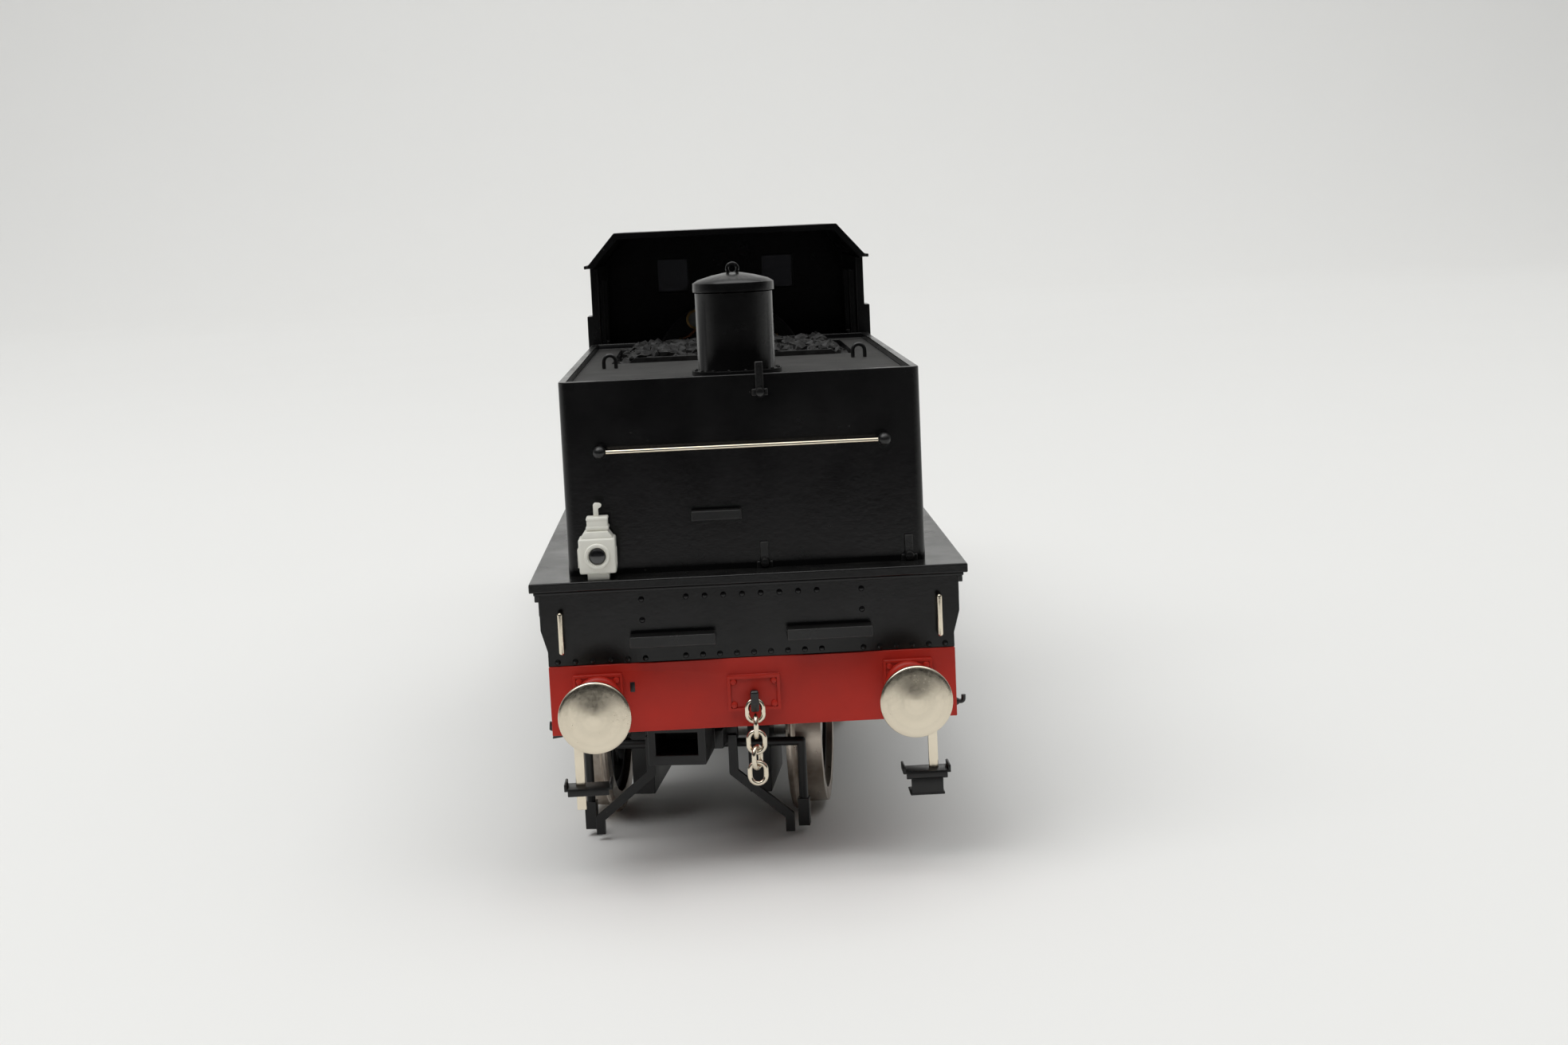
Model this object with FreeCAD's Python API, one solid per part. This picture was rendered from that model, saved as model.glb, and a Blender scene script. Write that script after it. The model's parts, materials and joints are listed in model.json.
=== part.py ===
"""A 4 mm scale model of a back-tank 0-6-2 steam locomotive, as separate pieces.

X runs across the locomotive, +Y towards the chimney end and +Z up, in millimetres.
Z = 0 is the level of the lowest points of the wheel flanges, X = 0 is the centreline
and Y = 0 is midway between the faces of the rear and front buffers.
"""
import FreeCAD, Part
import math
import os

from FreeCAD import Vector

# ---- overall sizes ----
beam_face_y = 73.5            # from the middle to the outer face of each buffer beam
buffer_projection = 7.0       # from a beam's face to a buffer head's face
footplate_width = 32.3
footplate_top_z = 22.85
footplate_thickness = 0.7
footplate_overhang = 1.0      # past each beam's face
back_to_back = 14.5           # between the inner faces of each pair of wheels
cab_roof_z = 47.9

# ---- clearances ----
running_clearance = 0.05      # radial, between a shaft and its hole
seat_clearance = 0.02         # radial, between two pieces that are pushed together
working_gap = 0.3             # between pieces that pass each other
through = 30.0                # reach of a cutter that passes right through a piece
lap = 1.0                     # by which two joined shapes run into each other

# ---- beams, drop plates and what stands on them ----
beam_width = 30.2
beam_bottom_z = 11.2
beam_top_z = 16.4
beam_thickness = 1.0
drop_plate_top_width = 31.1
drop_plate_setback = 0.2
drop_plate_thickness = 0.4
drop_plate_ogee = (0.2, 0.5)    # its low and high ends, as shares of the plate's height
drop_plate_shadow_gap = 0.25
backing_plate_thickness = 0.8
valance_depth = 2.2
valance_thickness = 0.6
valance_inset = 0.45
drawbar_plate_width = 3.9
drawbar_plate_height = 2.65
drawbar_plate_thickness = 0.3
drawbar_z = 13.8

# ---- buffers ----
buffer_spacing = 23.0
buffer_z = 13.9
buffer_head_radius = 2.62
buffer_head_thickness = 0.55
buffer_head_cone = 0.6
buffer_head_chamfer = 0.12
buffer_shank_radius = 0.95
buffer_shank_seat = 0.3       # left behind the shank at full travel
buffer_travel = 1.6
buffer_housing_length = 3.9
buffer_housing_radius = 1.75
buffer_housing_mouth_radius = 1.45
buffer_base_size = 3.7
buffer_base_thickness = 0.5

# ---- drawhooks and the coupling chain ----
hook_thickness = 0.6
hook_reach = 2.1              # from the beam's face to the middle of the hook's throat
hook_throat_radius = 0.3
hook_throat_z = 13.58
hook_bar = 0.5
hook_tip_height = 0.95
hook_root_rise = 0.25         # of the underside, where the hook meets its plate
hook_shoulder_rise = 0.45
hook_throat_land = 0.35       # level run between the shoulder and the throat
hook_nose_rise = 0.5
hook_tip_half_width = 0.12
hook_tip_chamfer = 0.15
hook_back_drop = 0.1
link_wire_radius = 0.18
link_width = 1.55
link_height = 1.95
link_count = 5
link_gap = 0.06
first_link_gap = 0.16         # the first link's arch clears the corners of the hook's throat
link_turns = (0.0, 90.0, 0.0, 65.0, 0.0)

# ---- rear tank and its fittings ----
tank_width = 26.7
tank_top_z = 37.3
tank_setback = 2.8            # from the footplate's rear edge to the tank's rear face
tank_length = 52.0
tank_wall = 0.9
tank_rim_height = 0.5
tank_rim_width = 0.6
tank_corner_radius = 0.7
coal_space_length = 22.0
coal_space_width = 21.0
coal_space_depth = 4.2
coal_space_from_cab = 2.0
coal_slope = 2.0
coal_crown = 0.4              # above the deck
coal_side_drop = 1.0          # below the deck
filler_from_tank_end = 9.0
filler_radius = 3.0
filler_wall = 0.6
filler_flange_radius = 3.5
filler_flange_thickness = 0.35
filler_top_z = 43.1
filler_floor = 1.0            # above the deck
lid_radius = 3.15
lid_rim = 0.75
lid_dome = 0.75
lid_curve = ((0.35, 0.86), (0.75, 0.52), (1.0, 0.2))   # shares of the dome and the radius
lid_hinge_radius = 0.35
lid_hinge_pin_radius = 0.18
lid_hinge_width = 1.1
lid_pin_overrun = 0.1
lid_leaf_overlap = 0.5
lid_leaf_thickness = 0.49
lid_ear_thickness = 0.5
lid_ear_drop = 1.0            # from the tube's top down to the foot of the hinge ears
lid_loop_radius = 0.4
lid_loop_wire_radius = 0.13
lid_loop_sink = 0.1
lifting_eye_offset = 10.4
lifting_eye_from_end = 21.7
lifting_eye_radius = 0.5
lifting_eye_wire_radius = 0.16
lifting_eye_leg = 0.6

# ---- small fittings on the rear ----
handrail_radius = 0.16
handrail_stand_off = 0.95
knob_radius = 0.5
knob_stem_radius = 0.24
rail_overrun_share = 0.8      # of the knob's radius, past its centre
tank_rail_half_length = 10.5
tank_rail_z = 32.1
tank_ledge_x = (-4.0, -0.3)
tank_ledge_z = (26.7, 27.4)
tank_ledge_depth = 1.0
plate_ledge_x = (2.65, 8.95)
plate_ledge_z = (17.8, 18.6)
plate_ledge_depth = 1.6
grab_rail_x = 14.0
grab_rail_z = (17.6, 20.4)
grab_rail_radius = 0.2
grab_rail_stand_off = 0.8
lamp_iron_width = 0.6
lamp_iron_thickness = 0.25
lamp_iron_foot_width = 1.2
lamp_iron_foot_height = 0.5
top_iron_x = 1.5
top_iron_z = (35.7, 38.2)
low_iron_height = 1.95
middle_iron_x = 1.3
side_iron_x = 12.1
lamp_x = -11.0
lamp_width = 2.7
lamp_depth = 2.2
lamp_foot_width = 1.6
lamp_foot_height = 0.5
lamp_foot_inset = 0.3
lamp_height = 2.5
lamp_shoulder = 0.6
lamp_shoulder_inset = 0.2     # from the body's front and back
lamp_neck_radius = 0.78
lamp_neck_height = 1.0
lamp_top_radius = 0.33
lamp_top_height = 1.0
lamp_iron_socket = 0.35       # the lamp stands this far off the tank's face
lens_radius = 0.68
lens_thickness = 0.3
lens_stand_out = 0.15
lens_face_share = 0.8
lens_height_share = 0.52      # of the lamp body's height

# ---- footsteps below the rear beam ----
footstep_x = 13.3
footstep_strip_width = 0.7
footstep_strip_thickness = 0.35
footstep_bottom_z = 5.2
footstep_board_x = (10.8, 14.5)
footstep_board_z = 7.3
footstep_board_thickness = 0.5
footstep_board_depth = 2.0
footstep_board_lip = 0.5
footstep_slot_gap = 0.05
footstep_board_forward = 0.9  # of the strip
footstep_strip_lap = 1.5      # behind the beam

# ---- cab ----
cab_length = 22.0
cab_width = 26.4
cab_wall = 0.7
cab_waist_z = 40.0
cab_waist_thickness = 0.5
cab_shoulder_z = 44.6
roof_side_width = 27.2
roof_flat_width = 21.4
roof_thickness = 0.6
roof_side_inset = 0.8
roof_rear_overhang = 1.2
roof_front_overhang = 0.7
doorway_y = (3.2, 10.7)       # from the cab's rear
doorway_z = (23.8, 43.2)
side_window_y = (12.7, 19.7)
side_window_z = (36.6, 43.0)
front_window_x = (3.9, 7.2)
front_window_z = (41.4, 44.9)
backhead_depth = 5.0
backhead_half_width = 8.2
backhead_top_z = 40.4
glass_thickness = 0.3

# ---- firebox, boiler and smokebox ----
smokebox_radius = 9.2
boiler_radius = 8.6
firebox_half_width = 9.4
shell_wall = 0.8
firebox_length = 16.0
boiler_length = 32.0
smokebox_length = 14.0
saddle_half_width = 6.5
door_radius = 7.6
door_rim = 0.5
door_dome = 1.0
door_hinge_offset = 8.2
door_hinge_radius = 0.4
door_hinge_pin_radius = 0.2
door_strap_height = 1.0
door_strap_spread = 5.0
door_strap_reach = 0.55       # share of the door's radius
door_strap_proud = 0.25
door_curve = ((0.45, 0.8), (0.8, 0.5), (1.0, 0.2))     # shares of the dome and the radius
door_lug_half_height = 0.35
door_lug_gap = 0.4            # from a strap to the middle of its lug, past the strap's edge
door_lug_sink = 0.2
door_pin_overrun = 0.6
smokebox_mouth_lip = 1.2
smokebox_saddle_share = 0.65  # of the smokebox's radius, below its centre
dart_radius = 0.7
dart_length = 0.8
chimney_base_radius = 3.6
chimney_waist_radius = 2.35
chimney_cap_radius = 2.95
chimney_bore_radius = 1.8
chimney_top_z = 47.5
chimney_root = 1.6            # below the smokebox's top
chimney_flange_rise = 0.1
chimney_foot_rise = 1.1
chimney_cap_drops = (1.2, 0.9, 0.3)    # foot, lower edge and upper edge, below the top
chimney_taper = 0.98
chimney_cap_taper = 0.86
dome_radius = 3.3
dome_top_z = 45.6
dome_flange_radius = 4.2
dome_flange_rise = 0.1
dome_foot_rise = 0.9
dome_curve = ((1.9, 1.0), (0.9, 0.86), (0.3, 0.58), (0.0, 0.22))   # drop, share of the radius
valve_radius = 0.75
valve_spacing = 2.4
valve_top_z = 44.2
valve_base_height = 0.9
valve_base_half_length = 1.3
valve_base_sink = 1.2
boiler_rail_x = 9.5
boiler_rail_above_centre = 4.0
boiler_rail_ends = (2.0, 2.0)  # kept clear of the cab's front and the smokebox's front
boiler_knobs = 5
boiler_knob_inset = (2.0, 1.0)     # of the first and last knobs

# ---- chassis and drive ----
flange_depth = 0.6
driver_radius = 10.0
driver_spacing = (32.0, 32.0)  # rear to middle, middle to front
rear_driver_from_pony = 34.0
crank_radius = 4.2
crankpin_radius = 0.8
crankpin_head_radius = 1.3
crankpin_head_length = 0.6
axle_radius = 1.5
tyre_width = 2.8
tyre_flange_width = 0.7
tyre_depth = 1.1
tyre_coning = 0.05            # above and below the nominal radius
tyre_flange_tip = (0.2, 0.45)
tyre_flange_root_share = 0.7  # of the flange's depth, at the wheel's back
wheel_centre_width = 1.8
wheel_rim_depth = 0.8
wheel_hub_radius = 2.3
wheel_crank_boss_radius = 1.55
wheel_crank_boss_height = 0.5
wheel_hub_boss_height = 0.3
crank_web_half_width = 1.2
spoke_width = 0.75
spoke_depth_share = 0.6       # of the wheel centre's width
spoke_root_share = 0.8        # of the hub's radius
driver_spokes = 15
rod_gap = 0.3                 # between a wheel's crank boss and the rod
rod_thickness = 0.9
rod_height = 1.6
rod_bar_inset = 0.1
rod_boss_radius = 1.75
right_crank_deg = -90.0
left_crank_deg = 0.0
chassis_width = 11.0
chassis_rear_bottom_z = 15.0
chassis_rear_from_axle = 9.5
chassis_front_from_axle = 22.0
keeper_thickness = 2.1
motor_width = 8.6
motor_height = 8.0
motor_length = 21.0
motor_from_axle = 6.5
motor_shaft_radius = 0.5
shaft_overrun = 3.0           # past the far end of the gear cavity and of the motor
gear_teeth = 20
gear_radius = 3.6
gear_tooth_depth = 0.45
gear_tooth_shares = (0.0, 0.3, 0.55, 0.85)     # root, tip, tip and root, in a tooth's pitch
gear_width = 2.4
worm_radius = 1.2
worm_core_radius = 0.85
worm_pitch = 0.9
worm_turns = 7
worm_thread_shares = (0.15, 0.35, 0.65, 0.85)   # root, tip, tip and root, in the pitch
worm_gear_gap = 0.1
gear_cavity_half_length = 5.0
gear_cavity_half_width = 1.7

# ---- pony truck ----
pony_radius = 6.5
pony_axle_from_beam = 19.0
pony_axle_radius = 1.0
pony_hub_radius = 1.5
pony_spokes = 10
pocket_from_beam = 2.0        # from the beam's face in to the pocket's mouth
pivot_from_pocket = 46.0
truck_swing_deg = 7.5         # how far the truck stands swung, its rear end to the left
pocket_width = 4.4
pocket_length = 6.0
pocket_z = (7.9, 11.0)
pocket_opening_width = 3.2
pocket_opening_z = (8.7, 10.4)
pocket_opening_depth = 5.0
truck_plate_half_width = 2.9
truck_plate_z = (7.9, 9.4)
truck_cheek_x = (3.9, 5.7)
truck_cheek_half_length = 4.5
truck_cheek_bottom_z = 2.4
truck_bridge_step = 0.4
truck_carrier_thickness = 1.0
arm_half_width = 2.3
arm_z = (7.2, 8.2)
arm_step_from_pivot = 11.0
pivot_radius = 1.0
pivot_head_radius = 1.8
pivot_head_height = 0.8
pivot_depth = 4.0
pivot_head_gap = 0.1
pivot_end_gap = 0.5
iron_from_axle = 9.6
iron_width = 0.7
iron_thickness = 0.4
iron_path = ((3.3, 8.4), (3.3, 5.4), (7.6, 1.8), (7.6, 0.5))
guard_rod_radius = 0.35
guard_rod_x = 8.6
guard_rod_z = 7.4
guard_shoe_size = (0.9, 1.0, 2.2)
guard_shoe_bottom_z = 0.6


# ---- positions that follow from the sizes ----
footplate_bottom_z = footplate_top_z - footplate_thickness
footplate_end_y = beam_face_y + footplate_overhang
tank_rear_y = -footplate_end_y + tank_setback
tank_front_y = tank_rear_y + tank_length
deck_z = tank_top_z - tank_rim_height
filler_y = tank_rear_y + filler_from_tank_end
cab_rear_y = tank_front_y
cab_front_y = cab_rear_y + cab_length
firebox_front_y = cab_front_y + firebox_length
boiler_front_y = firebox_front_y + boiler_length
smokebox_front_y = boiler_front_y + smokebox_length
boiler_z = footplate_top_z + smokebox_radius
pony_axle_y = -beam_face_y + pony_axle_from_beam
rear_axle_y = pony_axle_y + rear_driver_from_pony
middle_axle_y = rear_axle_y + driver_spacing[0]
front_axle_y = middle_axle_y + driver_spacing[1]
driver_z = driver_radius + flange_depth
pony_z = pony_radius + flange_depth
wheel_back_x = back_to_back / 2
wheel_centre_x = wheel_back_x + (tyre_width - wheel_centre_width) / 2
wheel_face_x = wheel_centre_x + wheel_centre_width
crank_boss_x = wheel_face_x + wheel_crank_boss_height
rod_x = crank_boss_x + rod_gap
worm_z = driver_z + gear_radius + worm_gear_gap + worm_radius
pocket_y = -beam_face_y + pocket_from_beam
pivot_y = pocket_y + pivot_from_pocket
drop_plate_y = beam_face_y - drop_plate_setback
chassis_rear_y = rear_axle_y - chassis_rear_from_axle
chassis_front_y = front_axle_y + chassis_front_from_axle
beam_back_y = beam_face_y - beam_thickness
drop_plate_back_y = drop_plate_y - drop_plate_thickness - backing_plate_thickness


def block(x_range, y_range, z_range):
    """A box from the low to the high value on each axis."""
    low = Vector(x_range[0], y_range[0], z_range[0])
    high = Vector(x_range[1], y_range[1], z_range[1])
    size = high - low
    return Part.makeBox(size.x, size.y, size.z, low)


def centred_block(width, y_range, z_range):
    """A box that is centred across the locomotive."""
    return block((-width / 2, width / 2), y_range, z_range)


def rod(start, end, radius):
    """A round bar from one point to another."""
    first = Vector(*start)
    along = Vector(*end) - first
    return Part.makeCylinder(radius, along.Length, first, along)


def cone(start, end, start_radius, end_radius):
    """A tapered round bar from one point to another."""
    first = Vector(*start)
    along = Vector(*end) - first
    return Part.makeCone(start_radius, end_radius, along.Length, first, along)


def ball(centre, radius):
    """A ball at a point."""
    return Part.makeSphere(radius, Vector(*centre))


def plate_along_y(outline, y_range):
    """A plate whose outline is (x, z) points, drawn out along Y."""
    corners = [Vector(x, y_range[0], z) for x, z in outline]
    face = Part.Face(Part.makePolygon(corners + corners[:1]))
    return face.extrude(Vector(0, y_range[1] - y_range[0], 0))


def plate_along_x(outline, x_range):
    """A plate whose outline is (y, z) points, drawn out along X."""
    corners = [Vector(x_range[0], y, z) for y, z in outline]
    face = Part.Face(Part.makePolygon(corners + corners[:1]))
    return face.extrude(Vector(x_range[1] - x_range[0], 0, 0))


def turned(profile, centre, axis):
    """A turned piece: (distance along the axis, radius) points spun round it."""
    corners = [Vector(radius, 0, along) for along, radius in profile]
    face = Part.Face(Part.makePolygon(corners + corners[:1]))
    solid = face.revolve(Vector(0, 0, 0), Vector(0, 0, 1), 360)
    solid.Placement = FreeCAD.Placement(
        Vector(*centre), FreeCAD.Rotation(Vector(0, 0, 1), Vector(*axis)))
    return solid


def joined(solids):
    """One solid made of pieces that overlap or touch."""
    if len(solids) == 1:
        return solids[0]
    return solids[0].fuse(solids[1:]).removeSplitter()


def other_side(shape):
    """The mirror image on the other side of the centreline."""
    return shape.mirror(Vector(0, 0, 0), Vector(1, 0, 0))


def other_end(shape):
    """The mirror image at the other end of the locomotive."""
    return shape.mirror(Vector(0, 0, 0), Vector(0, 1, 0))


def swung(shape):
    """A pony truck piece, turned with the truck about its pivot."""
    return shape.copy().rotate(Vector(0, pivot_y, 0), Vector(0, 0, 1), -truck_swing_deg)


def save(name, *solids):
    """Write a node, one piece or a group of separate like pieces."""
    shape = solids[0] if len(solids) == 1 else Part.makeCompound(solids)
    shape.exportStep("parts/%s.step" % name)


# ---------------------------------------------------------------- underframe
def make_footplate():
    """The footplate with a valance under each side."""
    plate = centred_block(footplate_width, (-footplate_end_y, footplate_end_y),
                          (footplate_bottom_z, footplate_top_z))
    outer = footplate_width / 2 - valance_inset
    valance = block((outer - valance_thickness, outer), (-drop_plate_back_y, drop_plate_back_y),
                    (footplate_bottom_z - valance_depth, footplate_bottom_z))
    save("footplate", joined([plate, valance, other_side(valance)]))


def make_drop_plates():
    """The plate between each beam and the footplate, with drawn-in lower corners."""
    top = footplate_bottom_z - drop_plate_shadow_gap
    wide = drop_plate_top_width / 2
    narrow = beam_width / 2
    height = top - beam_top_z
    low, high = drop_plate_ogee
    outline = [(-narrow, beam_top_z), (narrow, beam_top_z)]
    outline += [(narrow, beam_top_z + low * height), (wide, beam_top_z + high * height)]
    outline += [(wide, top), (-wide, top)]
    outline += [(-wide, beam_top_z + high * height), (-narrow, beam_top_z + low * height)]
    face = -drop_plate_y
    front = plate_along_y(outline, (face, face + drop_plate_thickness))
    back = centred_block(beam_width, (face + drop_plate_thickness, -drop_plate_back_y),
                         (beam_top_z, footplate_bottom_z))
    plate = joined([front, back])
    save("drop_plates", plate, other_end(plate))


def make_beams():
    """The two buffer beams, each with a raised plate that its drawhook stands on."""
    slab = centred_block(beam_width, (-beam_face_y, -beam_back_y), (beam_bottom_z, beam_top_z))
    half = drawbar_plate_height / 2
    plate = centred_block(drawbar_plate_width,
                          (-beam_face_y - drawbar_plate_thickness, -beam_face_y),
                          (drawbar_z - half, drawbar_z + half))
    beam = joined([slab, plate])
    save("buffer_beams", beam, other_end(beam))


def make_buffers():
    """A housing, and a head that slides in it, at each corner."""
    centre_x = buffer_spacing / 2
    face_y = -beam_face_y - buffer_projection
    bore = buffer_shank_radius + running_clearance
    base = block((centre_x - buffer_base_size / 2, centre_x + buffer_base_size / 2),
                 (-beam_face_y - buffer_base_thickness, -beam_face_y),
                 (buffer_z - buffer_base_size / 2, buffer_z + buffer_base_size / 2))
    mouth_y = -beam_face_y - buffer_housing_length
    barrel = cone((centre_x, -beam_face_y, buffer_z), (centre_x, mouth_y, buffer_z),
                  buffer_housing_radius, buffer_housing_mouth_radius)
    hole = rod((centre_x, -beam_face_y, buffer_z), (centre_x, mouth_y, buffer_z), bore)
    housing = joined([base, barrel]).cut(hole)
    near_pair = [housing, other_side(housing)]
    save("buffer_housings", *(near_pair + [other_end(piece) for piece in near_pair]))

    disc_end = buffer_head_thickness
    cone_end = disc_end + buffer_head_cone
    shank_end = buffer_projection - buffer_travel - buffer_shank_seat
    chamfer = buffer_head_chamfer
    profile = [(0, 0), (0, buffer_head_radius - chamfer), (chamfer, buffer_head_radius),
               (disc_end, buffer_head_radius), (cone_end, buffer_shank_radius),
               (shank_end, buffer_shank_radius), (shank_end, 0)]
    right = turned(profile, (centre_x, face_y, buffer_z), (0, 1, 0))
    left = other_side(right)
    save("rear_right_buffer", right)
    save("rear_left_buffer", left)
    save("front_right_buffer", other_end(right))
    save("front_left_buffer", other_end(left))


def hook_outline():
    """The drawhook's side view, as (y, z) points from the drawbar plate outwards."""
    root = -beam_face_y - drawbar_plate_thickness
    middle = -beam_face_y - hook_reach
    throat = hook_throat_radius
    steps = 8
    notch = []
    for step in range(steps + 1):
        angle = math.pi * step / steps
        notch.append((middle + throat * math.cos(angle), hook_throat_z - throat * math.sin(angle)))
    bottom = hook_throat_z - throat - hook_bar
    shoulder = hook_throat_z + hook_shoulder_rise
    tip = hook_throat_z + hook_tip_height
    outer = middle - throat - hook_bar
    outline = [(root, bottom + hook_root_rise), (root, shoulder)]
    outline.append((middle + throat + hook_throat_land, shoulder))
    outline += notch
    outline.append((middle - throat, hook_throat_z + hook_nose_rise))
    outline += [(outer + hook_tip_half_width, tip), (outer - hook_tip_half_width, tip - hook_tip_chamfer)]
    outline += [(outer, hook_throat_z - hook_back_drop), (middle - throat, bottom)]
    outline.append((middle + throat, bottom))
    return outline


def make_drawhooks():
    """The drawhook on each beam."""
    half = hook_thickness / 2
    hook = plate_along_x(hook_outline(), (-half, half))
    save("drawhooks", hook, other_end(hook))


def link_shape(top_z, turn_deg):
    """An oval chain link that hangs from top_z, turned about its upright axis."""
    y = -beam_face_y - hook_reach
    bend = link_width / 2 - link_wire_radius
    high = top_z - link_width / 2
    low = top_z - link_height + link_width / 2
    half_turns = []
    for centre_z, first in ((high, 0), (low, 180)):
        arch = Part.makeTorus(bend, link_wire_radius, Vector(0, 0, 0), Vector(0, 0, 1), -180, 180, 180)
        arch.rotate(Vector(0, 0, 0), Vector(0, 0, 1), first)
        arch.rotate(Vector(0, 0, 0), Vector(1, 0, 0), 90)
        arch.translate(Vector(0, y, centre_z))
        half_turns.append(arch)
    sides = [rod((side * bend, y, low), (side * bend, y, high), link_wire_radius) for side in (-1, 1)]
    link = joined(half_turns + sides)
    link.rotate(Vector(0, y, 0), Vector(0, 0, 1), turn_deg)
    return link


def make_chain():
    """The links that hang from the rear drawhook, each in the one above."""
    top_z = hook_throat_z - hook_throat_radius + 2 * link_wire_radius + first_link_gap
    for number in range(link_count):
        save("chain_link_%d" % (number + 1), link_shape(top_z, link_turns[number]))
        top_z += 4 * link_wire_radius + link_gap - link_height


# ---------------------------------------------------------------- tank
def make_tank():
    """The rear tank, hollow and open below, with a coal space in its deck."""
    half = tank_width / 2
    body = block((-half, half), (tank_rear_y, tank_front_y), (footplate_top_z, tank_top_z))
    upright = [edge for edge in body.Edges
               if abs(edge.tangentAt(edge.FirstParameter).z) > 0.9
               and edge.CenterOfMass.y < tank_rear_y + lap]
    body = body.makeFillet(tank_corner_radius, upright)
    recess = block((-half + tank_rim_width, half - tank_rim_width),
                   (tank_rear_y + tank_rim_width, tank_front_y - tank_rim_width),
                   (deck_z, tank_top_z))
    coal_front = tank_front_y - coal_space_from_cab
    coal_rear = coal_front - coal_space_length
    coal_floor = deck_z - coal_space_depth
    well = centred_block(coal_space_width, (coal_rear, coal_front), (coal_floor, tank_top_z))
    inner = half - tank_wall
    low_hollow = block((-inner, inner), (tank_rear_y + tank_wall, tank_front_y - tank_wall),
                       (footplate_top_z, coal_floor - tank_wall))
    high_hollow = block((-inner, inner), (tank_rear_y + tank_wall, coal_rear - tank_wall),
                        (coal_floor - tank_wall, deck_z - tank_wall))
    save("rear_tank", body.cut([recess, well, low_hollow, high_hollow]))

    heap_x = coal_space_width / 2 - seat_clearance
    heap_y = (coal_rear + seat_clearance, coal_front - seat_clearance)
    crown = deck_z + coal_crown
    edge_z = deck_z - coal_side_drop
    save("coal_load", plate_along_y([(-heap_x, coal_floor), (heap_x, coal_floor), (heap_x, edge_z),
                                     (heap_x - coal_slope, crown), (-heap_x + coal_slope, crown),
                                     (-heap_x, edge_z)], heap_y))


def make_filler():
    """The filler's tube on the deck, and its hinged lid with a loop handle."""
    hinge_y = filler_y + lid_radius + lid_hinge_radius
    hinge_z = filler_top_z + lid_rim / 2
    tube = rod((0, filler_y, deck_z), (0, filler_y, filler_top_z), filler_radius)
    flange = rod((0, filler_y, deck_z), (0, filler_y, deck_z + filler_flange_thickness),
                 filler_flange_radius)
    hollow = rod((0, filler_y, deck_z + filler_floor), (0, filler_y, filler_top_z),
                 filler_radius - filler_wall)
    ear_x = (lid_hinge_width / 2 + running_clearance,
             lid_hinge_width / 2 + running_clearance + lid_ear_thickness)
    ear = rod((ear_x[0], hinge_y, hinge_z), (ear_x[1], hinge_y, hinge_z), lid_hinge_radius)
    post_y = (hinge_y - lid_ear_thickness / 2, hinge_y + lid_ear_thickness / 2)
    foot_z = filler_top_z - lid_ear_drop
    post = block(ear_x, post_y, (foot_z, hinge_z))
    bracket = block(ear_x, (filler_y + filler_radius - filler_wall / 2, post_y[1]),
                    (foot_z, foot_z + lid_ear_thickness))
    right_ear = joined([ear, post, bracket])
    pin_end = ear_x[0] + lid_pin_overrun
    pin = rod((-pin_end, hinge_y, hinge_z), (pin_end, hinge_y, hinge_z), lid_hinge_pin_radius)
    body = joined([tube, flange, right_ear, other_side(right_ear), pin]).cut(hollow)
    save("tank_filler", body)

    seat = filler_top_z + working_gap / 3
    rim_top = filler_top_z + lid_rim
    dome_top = rim_top + lid_dome
    profile = [(seat, 0), (seat, lid_radius), (rim_top, lid_radius)]
    profile += [(rim_top + rise * lid_dome, lid_radius * share) for rise, share in lid_curve]
    profile.append((dome_top, 0))
    dome = turned(profile, (0, filler_y, 0), (0, 0, 1))
    loop = Part.makeTorus(lid_loop_radius, lid_loop_wire_radius,
                          Vector(0, filler_y, dome_top + lid_loop_radius - lid_loop_sink), Vector(0, 1, 0))
    half = lid_hinge_width / 2
    knuckle = rod((-half, hinge_y, hinge_z), (half, hinge_y, hinge_z), lid_hinge_radius)
    leaf = block((-half, half), (filler_y + lid_radius - lid_leaf_overlap, hinge_y),
                 (seat, seat + lid_leaf_thickness))
    pin_hole = rod((-half - lap, hinge_y, hinge_z), (half + lap, hinge_y, hinge_z),
                   lid_hinge_pin_radius + running_clearance)
    save("filler_lid", joined([dome, loop, knuckle, leaf]).cut(pin_hole))


def make_lifting_eyes():
    """Two bent-wire eyes on the deck."""
    y = tank_rear_y + lifting_eye_from_end
    leg_top = deck_z + lifting_eye_leg
    arch = Part.makeTorus(lifting_eye_radius, lifting_eye_wire_radius, Vector(0, 0, 0),
                          Vector(0, 0, 1), -180, 180, 180)
    arch.rotate(Vector(0, 0, 0), Vector(1, 0, 0), 90)
    arch.translate(Vector(lifting_eye_offset, y, leg_top))
    legs = [rod((lifting_eye_offset + side * lifting_eye_radius, y, deck_z),
                (lifting_eye_offset + side * lifting_eye_radius, y, leg_top),
                lifting_eye_wire_radius) for side in (-1, 1)]
    eye = joined([arch] + legs)
    save("lifting_eyes", eye, other_side(eye))


# ---------------------------------------------------------------- small fittings
def knob(base, tip, bore_end):
    """A turned knob on a stem from base to tip, bored for a rail along bore_end."""
    stem = rod(base, tip, knob_stem_radius)
    head = ball(tip, knob_radius)
    along = Vector(*bore_end)
    centre = Vector(*tip)
    bore = Part.makeCylinder(handrail_radius + seat_clearance, 4 * knob_radius,
                             centre - along * 2 * knob_radius, along)
    return joined([stem, head]).cut(bore)


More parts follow.
